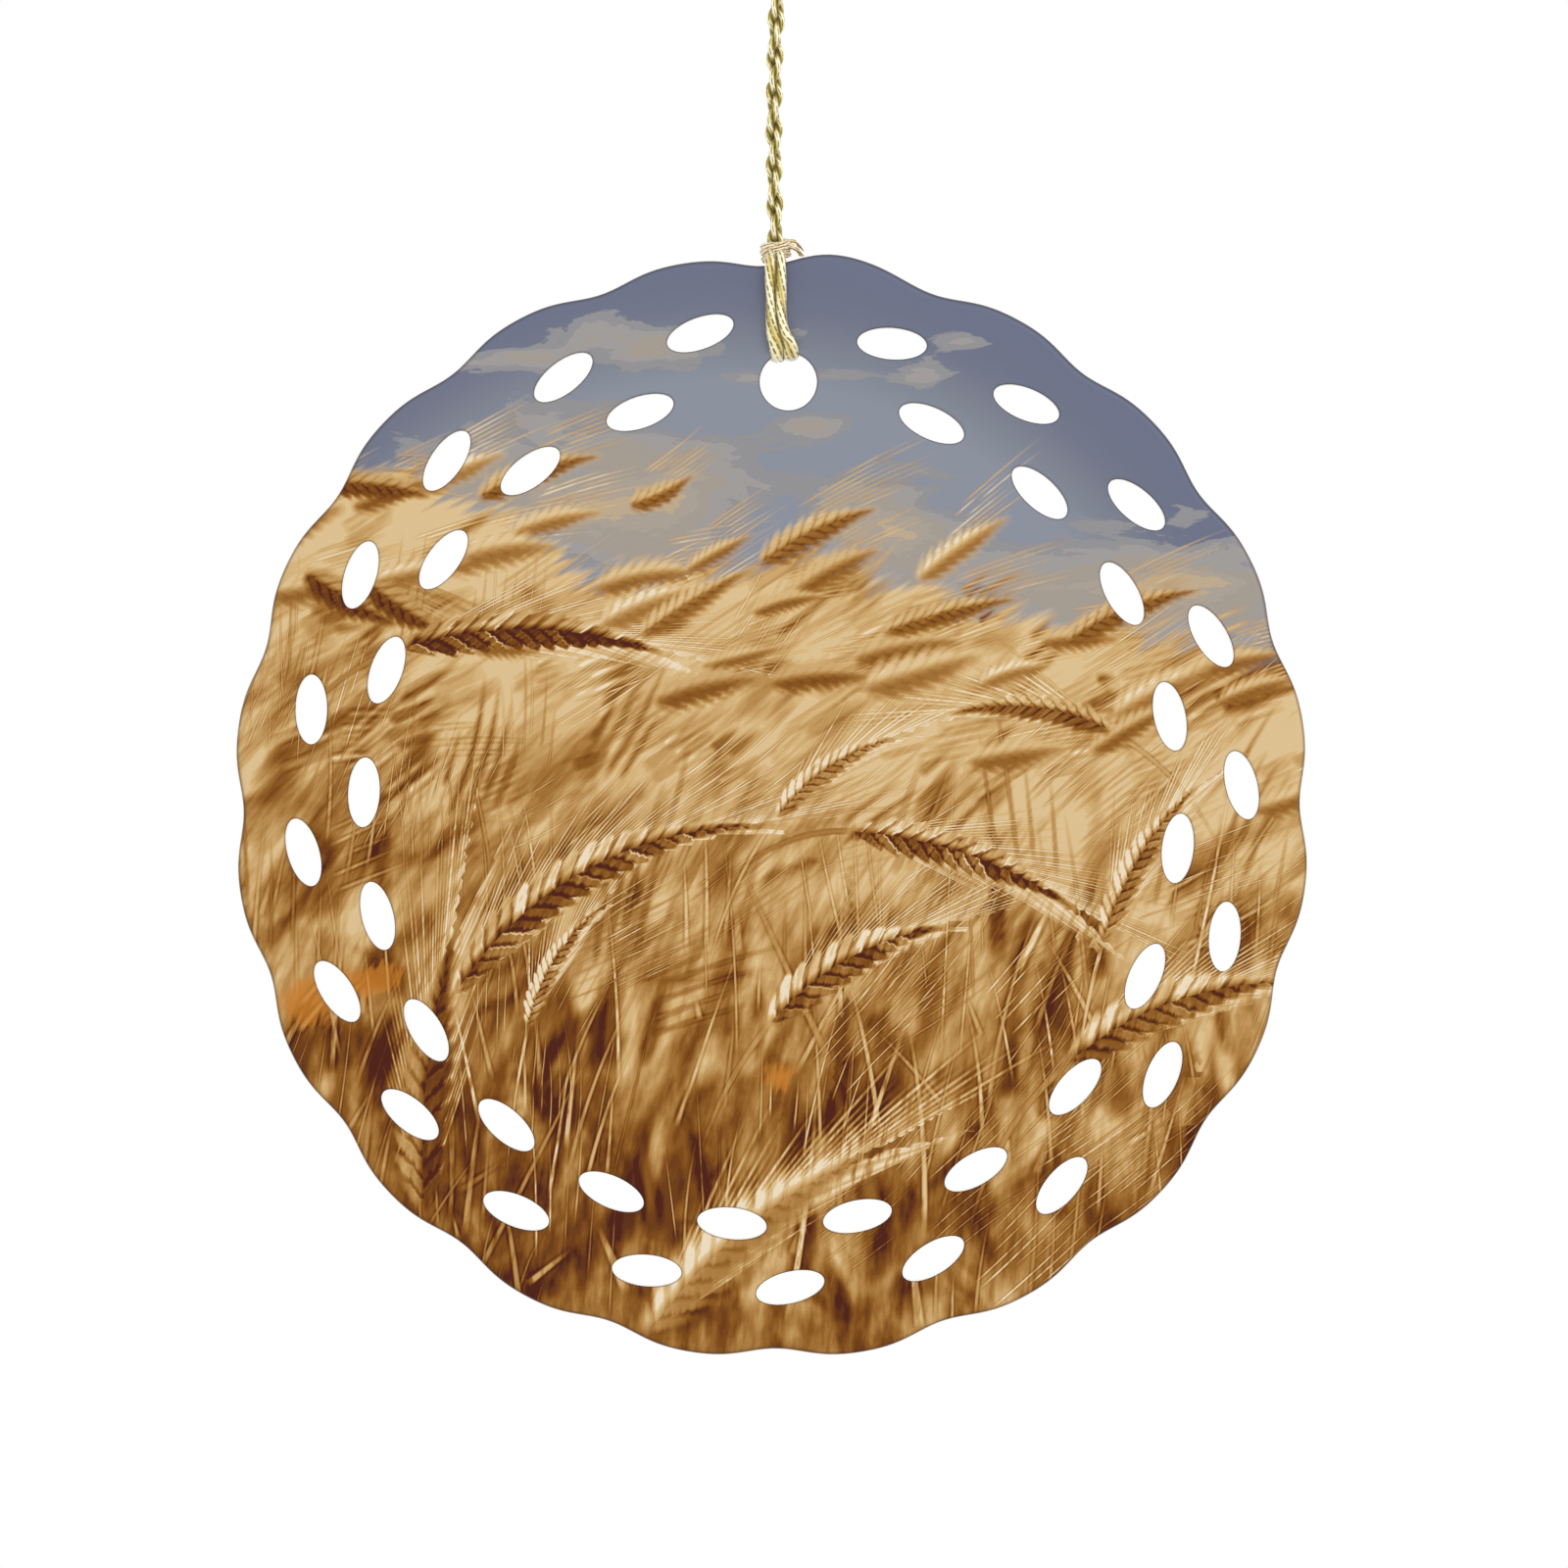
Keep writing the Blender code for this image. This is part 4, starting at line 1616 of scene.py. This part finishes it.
@dataclass(frozen=True)
class GoldYarn:
    """Metallised yarn: a core wound with narrow strips of gold-coloured polyester film.

    Its colour is painted with light and shade: a dark olive gold in the gaps between the plies,
    and almost white where the film stands furthest out.
    """

    name: str = "gold_metallised_yarn"
    # Painted shade and highlight: from dark olive deep between the plies to almost white where they
    # stand furthest out
    tones: Stops = ((0.50, "#86741A"), (0.72, "#C0AD58"), (0.86, "#EDE2AE"), (0.97, "#FFF9DC"))
    metallic: float = 0.55
    roughness: float = 0.34
    sheen: float = 0.9
    sheen_roughness: float = 0.4
    strip_mm: float = 0.09
    strip_slant: float = 3.0
    strip_height_mm: float = 0.012
    bump: float = 0.6
    thread_mm: float = 1.5
    threads: int = 6
    dash_mm: float = 0.5
    glint: Span = (0.0, 1.0, -0.08, 0.08)
    groove_shade: Span = (0.2, 0.72, -0.85, 0.0)
    dash_depth: Span = (0.0, 0.6, 0.25, 1.0)

    def material(self) -> Material:
        """Makes the yarn's finish, which reads where on the yarn each point lies.

        Returns:
            The material.
        """
        material, node = new_material(self.name)
        lie = node("Attribute", attribute_name="yarn_lie").outputs["Vector"]
        along, around, outness = node("SeparateXYZ", lie).outputs
        # Film strips lie across the ply, drawn coarser than the real 0.03 mm so that they show
        strips = node("Math:MULTIPLY", along, 1 / self.strip_mm)
        slant = node("Math:MULTIPLY_ADD", around, self.strip_slant, strips)
        number = node("Math:FLOOR", slant)
        # Each strip gets its own painted glint, a little lighter or darker at random
        luck = node("TexWhiteNoise", None, number, noise_dimensions="1D")
        glint = node("MapRange", luck, *self.glint)
        # Each ply is spun from threads, and painted shade in the grooves between them shows as dark
        # dashes
        turned = node("Math:MULTIPLY", along, 1 / self.thread_mm)
        wound = node("Math:MULTIPLY_ADD", around, self.threads, turned)
        wave = node("Math:SINE", node("Math:MULTIPLY", wound, math.pi))
        groove_shade = node("MapRange", node("Math:ABSOLUTE", wave), *self.groove_shade)
        # The dashes of neighbouring threads are half a dash apart, and taper at both ends
        thread = node("Math:FLOOR", node("Math:ADD", wound, 0.5))
        shifted = node("Math:MULTIPLY", thread, 0.5)
        step = node("Math:MULTIPLY_ADD", along, 1 / self.dash_mm, shifted)
        chance = node("TexWhiteNoise", node("CombineXYZ", thread, node("Math:FLOOR", step)))
        swell = node("Math:SINE", node("Math:MULTIPLY", node("Math:FRACT", step), math.pi))
        tapered = node("Math:MULTIPLY", swell, node("MapRange", chance, *self.dash_depth))
        uneven = node("Math:ADD", glint, node("Math:MULTIPLY", groove_shade, tapered))
        # Painted shade and highlight: the colour follows how far out each point stands
        colour = node("ValToRGB", node("Math:ADD", outness, uneven), stops=self.tones)
        hump = node("Math:SINE", node("Math:MULTIPLY", node("Math:FRACT", slant), math.pi))
        bump = node("Bump", self.bump, self.strip_height_mm * MM, None, hump)
        looks = {"Base Color": colour, "Normal": bump, "Metallic": self.metallic}
        looks |= {"Roughness": self.roughness, "Sheen Weight": self.sheen}
        return dress(material, looks | {"Sheen Roughness": self.sheen_roughness})


def run_length(line: Array) -> Array:
    """Gives how far along a line each of its points lies."""
    return np.concatenate([[0.0], np.cumsum(np.linalg.norm(np.diff(line, axis=0), axis=1))])


def smooth_open(bends: Array, step: float) -> Array:
    """Runs a smooth curve through an open row of bends, with points evenly along it.

    Args:
        bends: The places it goes through.
        step: Distance between its points.

    Returns:
        The curve's points, the first and last bend among them.
    """
    ends = np.concatenate([[2 * bends[0] - bends[1]], bends, [2 * bends[-1] - bends[-2]]])
    fine = in_between(ends[:-3], ends[1:-2], ends[2:-1], ends[3:], steps=24)
    fine = np.concatenate([fine, bends[-1:]])
    along = run_length(fine)
    count = max(round(along[-1] / step), 4)
    wanted = np.linspace(0.0, along[-1], count + 1)
    return np.stack([np.interp(wanted, along, fine[:, axis]) for axis in range(3)], 1)


@dataclass(frozen=True)
class Lay:
    """How a yarn is made up: its plies and how they are laid round each other, in mm.

    Each pair of sizes is for yarn that hangs slack and for yarn that is wound tight. Below 0,
    a pitch lays the plies the other way round than two yarns are twisted.
    """

    plies: int = 2
    ply_radius: Pair = (0.30, 0.225)
    offset: Pair = (0.095, 0.185)
    pitch: Pair = (-9.0, -2.56)
    sides: int = 12
    step: float = 0.12
    pattern_shift: float = 17.3

    def frames(self, line: Array) -> tuple[Array, Array]:
        """Finds two directions across a line at each point, which twist no more than it does.

        Args:
            line: The line's points.

        Returns:
            The first and the second direction at each point.
        """
        ahead = np.gradient(line, axis=0)
        ahead /= np.linalg.norm(ahead, axis=1, keepdims=True)
        first = np.cross(ahead[0], (0.0, 1.0, 0.0))
        if np.linalg.norm(first) < 0.1:
            first = np.cross(ahead[0], (1.0, 0.0, 0.0))
        sides = [first / np.linalg.norm(first)]
        for way in ahead[1:]:
            side = sides[-1] - way * (sides[-1] @ way)
            sides.append(side / np.linalg.norm(side))
        across = np.array(sides)
        return across, np.cross(ahead, across)

    def tube(self, line: Array, radius: Array) -> tuple[Array, Faces]:
        """Makes one closed tube along a line.

        Args:
            line: Its centre line.
            radius: Its radius at each point.

        Returns:
            Its points ring by ring, and its faces.
        """
        across, up = self.frames(line)
        turns = np.linspace(0, 2 * math.pi, self.sides, endpoint=False)
        cosines, sines = (wave(turns)[None, :, None] for wave in (np.cos, np.sin))
        ring = cosines * across[:, None] + sines * up[:, None]
        points = line[:, None] + ring * radius[:, None, None]
        count = len(line)
        grid = np.arange(count * self.sides).reshape(count, self.sides)
        after = np.roll(grid, -1, axis=1)
        faces = np.stack([grid[:-1], after[:-1], after[1:], grid[1:]], 2).reshape(-1, 4).tolist()
        return points.reshape(-1, 3), [*faces, grid[0][::-1].tolist(), grid[-1].tolist()]

    def spin(self, line: Array, fullness: Array, wound: Array) -> tuple[Array, Faces, Array]:
        """Lays the plies round a line.

        Args:
            line: The yarn's centre line.
            fullness: How thick the yarn is at each point, as a share of its own.
            wound: How tight it is wound at each point, from 0 to 1.

        Returns:
            The plies' points, their faces, and where on the yarn each point lies: its mm
            along, its share round the ply, and how far out it stands from 0 to 1.
        """
        along = run_length(line)
        slack_pitch, tight_pitch = self.pitch
        per_mm = np.interp(wound, (0, 1), (1 / slack_pitch, 1 / tight_pitch))
        turned = np.cumsum(np.diff(along, prepend=0.0) * per_mm)
        offset = fullness * np.interp(wound, (0, 1), self.offset)
        radius = fullness * np.interp(wound, (0, 1), self.ply_radius)
        across, up = self.frames(line)
        points, faces, lies = [], [], []
        for ply in range(self.plies):
            turn = 2 * math.pi * (turned + ply / self.plies)
            out = np.cos(turn)[:, None] * across + np.sin(turn)[:, None] * up
            made, joined = self.tube(line + out * offset[:, None], radius)
            first = sum(len(part) for part in points)
            points.append(made)
            faces += [[first + corner for corner in face] for face in joined]
            from_line = made.reshape(len(line), self.sides, 3) - line[:, None]
            outness = np.linalg.norm(from_line, axis=2) / (offset + radius)[:, None]
            marks = np.repeat(along + self.pattern_shift * ply, self.sides)
            round_ply = np.tile(np.arange(self.sides) / self.sides, len(line))
            lies.append(np.stack([marks, round_ply, outness.ravel()], 1))
        return np.concatenate(points), faces, np.concatenate(lies)


@dataclass
class HangingCord:
    """The gold cord: one yarn laid double, from its cut ends in the knot to its open loop.

    Sizes are in mm from the disc's centre. Depth is Y, and the front is negative.
    """

    centre: Array
    lay: Lay = field(default_factory=Lay)
    wrap_lay: Lay = Lay(5, (0.10, 0.10), (0.15, 0.15), (-6.0, -6.0), sides=8, step=0.07)
    hair_lay: Lay = Lay(sides=5, step=0.16)
    yarn: GoldYarn = field(default_factory=GoldYarn)
    # The knot's yarn, with its own warmer ramp of painted shade and highlight
    tight_yarn: GoldYarn = GoldYarn(
        "gold_metallised_yarn_tight",
        ((0.50, "#8C5F18"), (0.72, "#C89E4A"), (0.86, "#EFDCA6"), (0.97, "#FFFBE6")),
    )
    slot: str = "gold_cord"
    diameter: float = 0.8
    face_y: float = 1.5
    knot_x: float = 0.27
    knot_z: Pair = (37.2, 38.5)
    knot_reach: Pair = (0.86, 0.94)
    knot_turns: float = 3.1
    first_turn: float = 0.30
    wrap_insets: Pair = (0.26, 0.36)
    wrap_droop: float = 0.55
    wrap_tilt: Pair = (0.10, 0.06)
    wrap_belly: float = 0.14
    # How far out the turns lie, from where the yarn comes out of the knot to where it goes in
    tucked: Line = ((0.0, 0.55), (0.07, 1.0), (0.93, 1.0), (1.0, 0.55))
    hairs: int = 16
    hair_root: Triple = (0.62, -0.45, 0.85)
    hair_tip: Triple = (1.72, -0.30, 0.02)
    hair_radius: Line = ((0.0, 0.045), (0.8, 0.040), (1.0, 0.022))
    seed: int = 4
    strand_gap: float = 0.71
    rim_z: float = 36.75
    hole_x: Pair = (0.34, 1.32)
    hole_edge_z: float = 30.5
    hole_middle_x: float = 1.12
    pair_top_z: float = 55.83
    pair_lean: float = 0.13
    pair_sway: float = 0.18
    pair_radius: float = 0.275
    pair_turns: float = 3.5
    pair_from: float = 0.95
    pair_step: float = 0.45
    # How much farther apart the pair's halves come by share of its height
    pair_opens: Line = ((0.9, 0.0), (1.0, 0.16))
    loop_length: float = 15.0
    loop_half_width: float = 4.94
    loop_gap: float = 0.3
    tight: float = 0.84
    loop_fullness: float = 0.95
    loop_winding: float = 0.2
    # How high over the hole's edge the strands are pressed flat, wholly and at all
    pressed: Pair = (0.1, 2.4)
    flattened: Pair = (1.35, 0.62)
    # Painted shadow where two parts of the cord touch: the distances over which it fades out, its
    # darkest factor, and how many centre-line points either side count as a point's own part
    close_by: Pair = (0.30, 0.62)
    shadow: float = 0.66
    own_reach: int = 16

    def strand(self, side: Side) -> Array:
        """Lays one strand down the front, through the hole and up the back.

        Args:
            side: The strand, as seen from the front.

        Returns:
            Its bends, from behind the knot round to the knot's front.
        """
        sign = -side.value
        half = self.strand_gap / 2
        top_x = self.knot_x + sign * half
        hole_x = self.hole_x[0] if side is Side.LEFT else self.hole_x[1]
        edge_z = self.hole_edge_z if side is Side.LEFT else self.hole_edge_z + 0.12
        out = self.face_y + half

        across = top_x + np.array([0.12, 0.42, 0.78, 0.96]) * (hole_x - top_x)
        front = [
            (self.knot_x + sign * 0.24, 0.15, self.knot_z[0] + 0.75),
            (self.knot_x + sign * 0.34, 0.75, self.knot_z[0] + 0.22),
            (top_x, 1.42, self.rim_z + 0.30),
            (top_x, 1.80, self.rim_z - 0.20),
            (top_x, out, self.rim_z - 0.90),
            (top_x, out, self.rim_z - 2.60),
            (across[0], out, 33.0),
            (across[1], out, 31.9),
            (across[2], out - 0.03, edge_z + 0.85),
            (across[3], out - 0.22, edge_z + 0.30),
            (hole_x, out - 0.66, edge_z - 0.10),
            (hole_x, 0.6, edge_z - 0.24),
        ]
        down = [(x, -y, z) for x, y, z in front]
        up = [(x, y, z) for x, y, z in reversed(front)]
        return np.array([*down, (hole_x, 0.0, edge_z - 0.26), *up])

    def leg(self, side: Side) -> Array:
        """Lays one half of the twisted pair.

        Args:
            side: The half, as it starts at the knot.

        Returns:
            Its bends, from the knot up to the loop.
        """
        heights = np.arange(self.knot_z[0] + self.pair_from, self.pair_top_z, self.pair_step)
        share = (heights - heights[0]) / (heights[-1] - heights[0])
        middle = self.knot_x + self.pair_lean * share - self.pair_sway * np.sin(math.pi * share)
        turn = math.pi * (1 + side.value) / 2 + 2 * math.pi * self.pair_turns * share
        reach = self.pair_radius + read_off(self.pair_opens, share)
        return np.stack([middle + reach * np.cos(turn), reach * np.sin(turn), heights], 1)

    def loop(self) -> Array:
        """Lays the open loop, a drop that is narrow at its mouth.

        Returns:
            Its bends, from its right end round to its left end.
        """
        start_rise = (self.pair_radius + 0.17) / (2 * self.loop_half_width)
        start = math.asin(math.sqrt(start_rise))
        angles = np.linspace(math.pi - start, start, 27)
        across = self.loop_half_width * np.sin(2 * angles) * np.sin(angles)
        rise = (np.sin(angles) ** 2 - start_rise) / (1 - start_rise)
        top_x = self.knot_x + self.pair_lean
        mouth_z = self.pair_top_z + self.loop_gap
        return np.stack([top_x - across, 0 * angles, mouth_z + self.loop_length * rise], 1)

    def route(self) -> Array:
        """Lays the whole cord, from one cut end in the knot to the other.

        Returns:
            Its centre line.
        """
        left, right = self.strand(Side.LEFT), self.strand(Side.RIGHT)
        bends = [left[::-1], self.leg(Side.LEFT), self.loop(), self.leg(Side.RIGHT)[::-1], right]
        return smooth_open(np.concatenate(bends), self.lay.step)

    def fullness(self, line: Array) -> Array:
        """Gives how thick the yarn is along the line: less where it is twisted or knotted."""
        heights = (self.rim_z + 0.1, self.knot_z[0] + 0.5, self.pair_top_z, self.pair_top_z + 3)
        return np.interp(line[:, 2], heights, (1.0, self.tight, self.tight, self.loop_fullness))

    def wound(self, line: Array) -> Array:
        """Gives how tight the yarn is wound: tightest where its two halves are twisted.

        The plies turn the other way than the two halves do round each other, as in any doubled
        cord, so they show as a chain of short ovals there.
        """
        heights = (self.knot_z[0], self.knot_z[1], self.pair_top_z, self.pair_top_z + 3)
        return np.interp(line[:, 2], heights, (0.0, 1.0, 1.0, self.loop_winding))

    def contact_shade(self, points: Array, along: Array, line: Array) -> Array:
        """Gives how open each point lies, as a painted shade where another part of the cord is close.

        Args:
            points: Places on the yarn.
            along: The number of the line's point that each belongs to.
            line: The cord's centre line.

        Returns:
            A factor from painted shadow where two parts touch to 1 in the open.
        """
        tree = KDTree(len(line))
        for number, place in enumerate(line):
            tree.insert(place, number)
        tree.balance()
        away = [
            tree.find(place, filter=lambda other, own=own: abs(other - own) > self.own_reach)[2]
            for place, own in zip(points, along)
        ]
        return np.interp(away, self.close_by, (self.shadow, 1.0))

    def mesh(self, name: str, points: Array, faces: Faces, lies: Array) -> Mesh:
        """Makes a mesh of yarn in the row frame, which knows where on the yarn each point is.

        Args:
            name: The mesh's name.
            points: Its points, in mm from the disc's centre.
            faces: Its faces.
            lies: Where on the yarn each point lies.

        Returns:
            The mesh.
        """
        made = bpy.data.meshes.new(name)
        made.from_pydata(self.placed(points), [], faces)
        made.shade_smooth()
        corners = np.concatenate(faces)
        sizes = np.array([len(face) for face in faces])
        values = lies[corners]
        # The last face round each ply ends at a whole turn
        starts = np.concatenate([[0], np.cumsum(sizes)[:-1]])
        most = np.repeat(np.where(sizes == 4, np.maximum.reduceat(values[:, 1], starts), 0.0), sizes)
        values[(values[:, 1] == 0.0) & (most > 0.7), 1] = 1.0
        put_attribute(made, "yarn_lie", "CORNER", values)
        return made

    def placed(self, points: Array) -> list[list[float]]:
        """Moves points in mm from the disc's centre to metres in the row frame."""
        return ((points + np.array([self.centre[0], 0.0, self.centre[1]])) * MM).tolist()

    def wraps(self) -> Array:
        """Lays the knot's tight turns round the strands.

        Returns:
            Their bends, from the lowest turn up.
        """
        bottom, top = self.knot_z
        share = np.linspace(0, 1, 90)
        turn = 2 * math.pi * (self.knot_turns * share + self.first_turn)
        height = np.interp(share, (0, 1), (bottom + self.wrap_insets[0], top - self.wrap_insets[1]))
        # The lowest turn hangs down at both sides of the strands
        height -= self.wrap_droop * (1 - share) ** 2 * np.cos(turn) ** 2
        height += self.wrap_tilt[0] * np.sin(turn) + self.wrap_tilt[1] * np.cos(turn)
        rounded = 1 - self.wrap_belly * (2 * share - 1) ** 2
        wide, deep = (reach * rounded * read_off(self.tucked, share) for reach in self.knot_reach)
        return np.stack([self.knot_x + wide * np.cos(turn), deep * np.sin(turn), height], 1)

    def hair(self, spread: float, chance: Chance) -> Array:
        """Lays one hair of the cord's frayed end, which bends down to the right of the knot.

        Args:
            spread: Its place among the others, from -1 to 1.
            chance: The source of its own turn.

        Returns:
            Its centre line.
        """
        knot = np.array([self.knot_x, 0.0, self.knot_z[0]])
        start = knot + self.hair_root + (0.0, 0.1 * spread, 0.18 * spread)
        end = knot + self.hair_tip + (0.0, 0.32 * spread, 0.42 * max(spread, -0.2))
        end += chance.uniform((-0.30, -0.1, -0.06), (0.22, 0.1, 0.10))
        middle = (start + end) / 2 + (0.12, -0.12 + 0.1 * spread, 0.16 + 0.14 * spread)
        return smooth_open(np.array([start, middle, end]), self.hair_lay.step)

    def build_knot(self) -> Object:
        """Builds the knot's tight turns and the cord's short frayed end beside it.

        Returns:
            The knot.
        """
        line = smooth_open(self.wraps(), self.wrap_lay.step)
        points, faces, lies = self.wrap_lay.spin(line, np.ones(len(line)), np.zeros(len(line)))
        chance = np.random.default_rng(self.seed)
        for number, spread in enumerate(np.linspace(-1, 1, self.hairs)):
            strand = self.hair(spread, chance)
            radius = read_off(self.hair_radius, np.linspace(0, 1, len(strand)))
            made, joined = self.hair_lay.tube(strand, radius)
            faces += [[len(points) + corner for corner in face] for face in joined]
            points = np.concatenate([points, made])
            # Each hair stands at a random place on the yarn's ramp of painted shade and highlight,
            # towards the highlight
            shine = np.full((len(made), 3), (number, 0.5, chance.uniform(0.70, 1.0)))
            lies = np.concatenate([lies, shine])
        knot = new_object("knot", self.mesh("knot", points, faces, lies), self.tight_yarn.material())
        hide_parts("cord_knot")
        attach(knot, ROOT)
        return knot

    def build(self) -> None:
        knot = self.build_knot()
        line = self.route()
        points, faces, lies = self.lay.spin(line, self.fullness(line), self.wound(line))
        own = np.tile(np.repeat(np.arange(len(line)), self.lay.sides), self.lay.plies)
        close = np.interp(line[own][:, 2] - self.hole_edge_z, self.pressed, (1.0, 0.0))
        aside = points - line[own]
        wider = 1 + close * (self.flattened[0] - 1)
        thinner = 1 + close * (self.flattened[1] - 1)
        points = line[own] + aside * np.stack([wider, thinner, thinner], 1)
        # Painted shade darkens the yarn where two parts of the cord touch
        lies[:, 2] *= self.contact_shade(points, own, line)
        cord = new_object("cord", self.mesh("cord", points, faces, lies), self.yarn.material())
        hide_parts("cord_strand_left", "cord_strand_right", "cord_twisted_pair", "cord_loop")
        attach(cord, ROOT)


@dataclass
class Studio:
    """A pale floor well below the hanging ornament, soft white light and the camera."""

    aim: Triple = (0.00043, 0.0, -0.0692)
    distance: float = 1.2
    seen_width: float = 0.10579
    sensor_mm: float = 36.0
    floor_z: float = -0.20
    floor_radius: float = 0.9
    floor_colour: str = "#F1F0EE"
    floor_roughness: float = 0.9
    floor_gloss: float = 0.1
    daylight: float = 1.0
    key_power: float = 0.5
    key_size: float = 0.35
    key_place: Triple = (0.32, -0.42, 0.28)

    def build_floor(self) -> None:
        """Builds the round floor of matt white paper."""
        mesh = bmesh.new()
        bmesh.ops.create_circle(mesh, cap_ends=True, segments=96, radius=self.floor_radius)
        data = bpy.data.meshes.new("studio_floor")
        mesh.to_mesh(data)
        mesh.free()
        looks = {"Base Color": linear(self.floor_colour), "Roughness": self.floor_roughness}
        looks |= {"Specular IOR Level": self.floor_gloss}
        material = dress(new_material("matt_white_paper")[0], looks)
        floor = new_object("studio_floor", data, material)
        floor.location.z = self.floor_z
        floor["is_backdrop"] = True

    def build_light(self) -> None:
        """Lights the whole room white, with a large soft lamp at the upper right in front."""
        world = bpy.data.worlds.new("white_room")
        world.use_nodes = True
        background = world.node_tree.nodes["Background"]
        background.inputs["Color"].default_value = (1.0, 1.0, 1.0, 1.0)
        background.inputs["Strength"].default_value = self.daylight
        bpy.context.scene.world = world
        lamp = bpy.data.lights.new("soft_key", "AREA")
        lamp.shape = "DISK"
        lamp.size = self.key_size
        lamp.energy = self.key_power
        holder = bpy.data.objects.new("soft_key", lamp)
        holder.location = self.key_place
        way = Vector(self.aim) - holder.location
        holder.rotation_euler = way.to_track_quat("-Z", "Y").to_euler()
        bpy.context.scene.collection.objects.link(holder)

    def build_camera(self) -> None:
        """Sets the camera square on to the print, with a long lens as in the picture."""
        lens = bpy.data.cameras.new("camera")
        lens.sensor_width = self.sensor_mm
        lens.lens = self.sensor_mm * self.distance / self.seen_width
        lens.clip_start = 0.05
        lens.clip_end = 50.0
        camera = bpy.data.objects.new("camera", lens)
        camera.location = (self.aim[0], -self.distance, self.aim[2])
        camera.rotation_euler = (math.pi / 2, 0.0, 0.0)
        bpy.context.scene.collection.objects.link(camera)
        bpy.context.scene.camera = camera
        bpy.context.scene.view_settings.view_transform = "Standard"

    def build(self) -> None:
        """Builds the floor, the light and the camera."""
        self.build_floor()
        self.build_light()
        self.build_camera()


def main() -> None:
    """Builds the disc, the cord and the studio, and works out the model's and the scene's sizes."""
    logging.basicConfig(level=logging.INFO, format="%(name)s: %(message)s")
    Studio().build()
    centre = CeramicDisc().build()
    HangingCord(centre).build()
    boxes = {"cad": CAD_BOX, "visual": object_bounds()}
    sizes = {name: [list(corner) for corner in box] for name, box in boxes.items()}


if __name__ == "__main__":
    main()
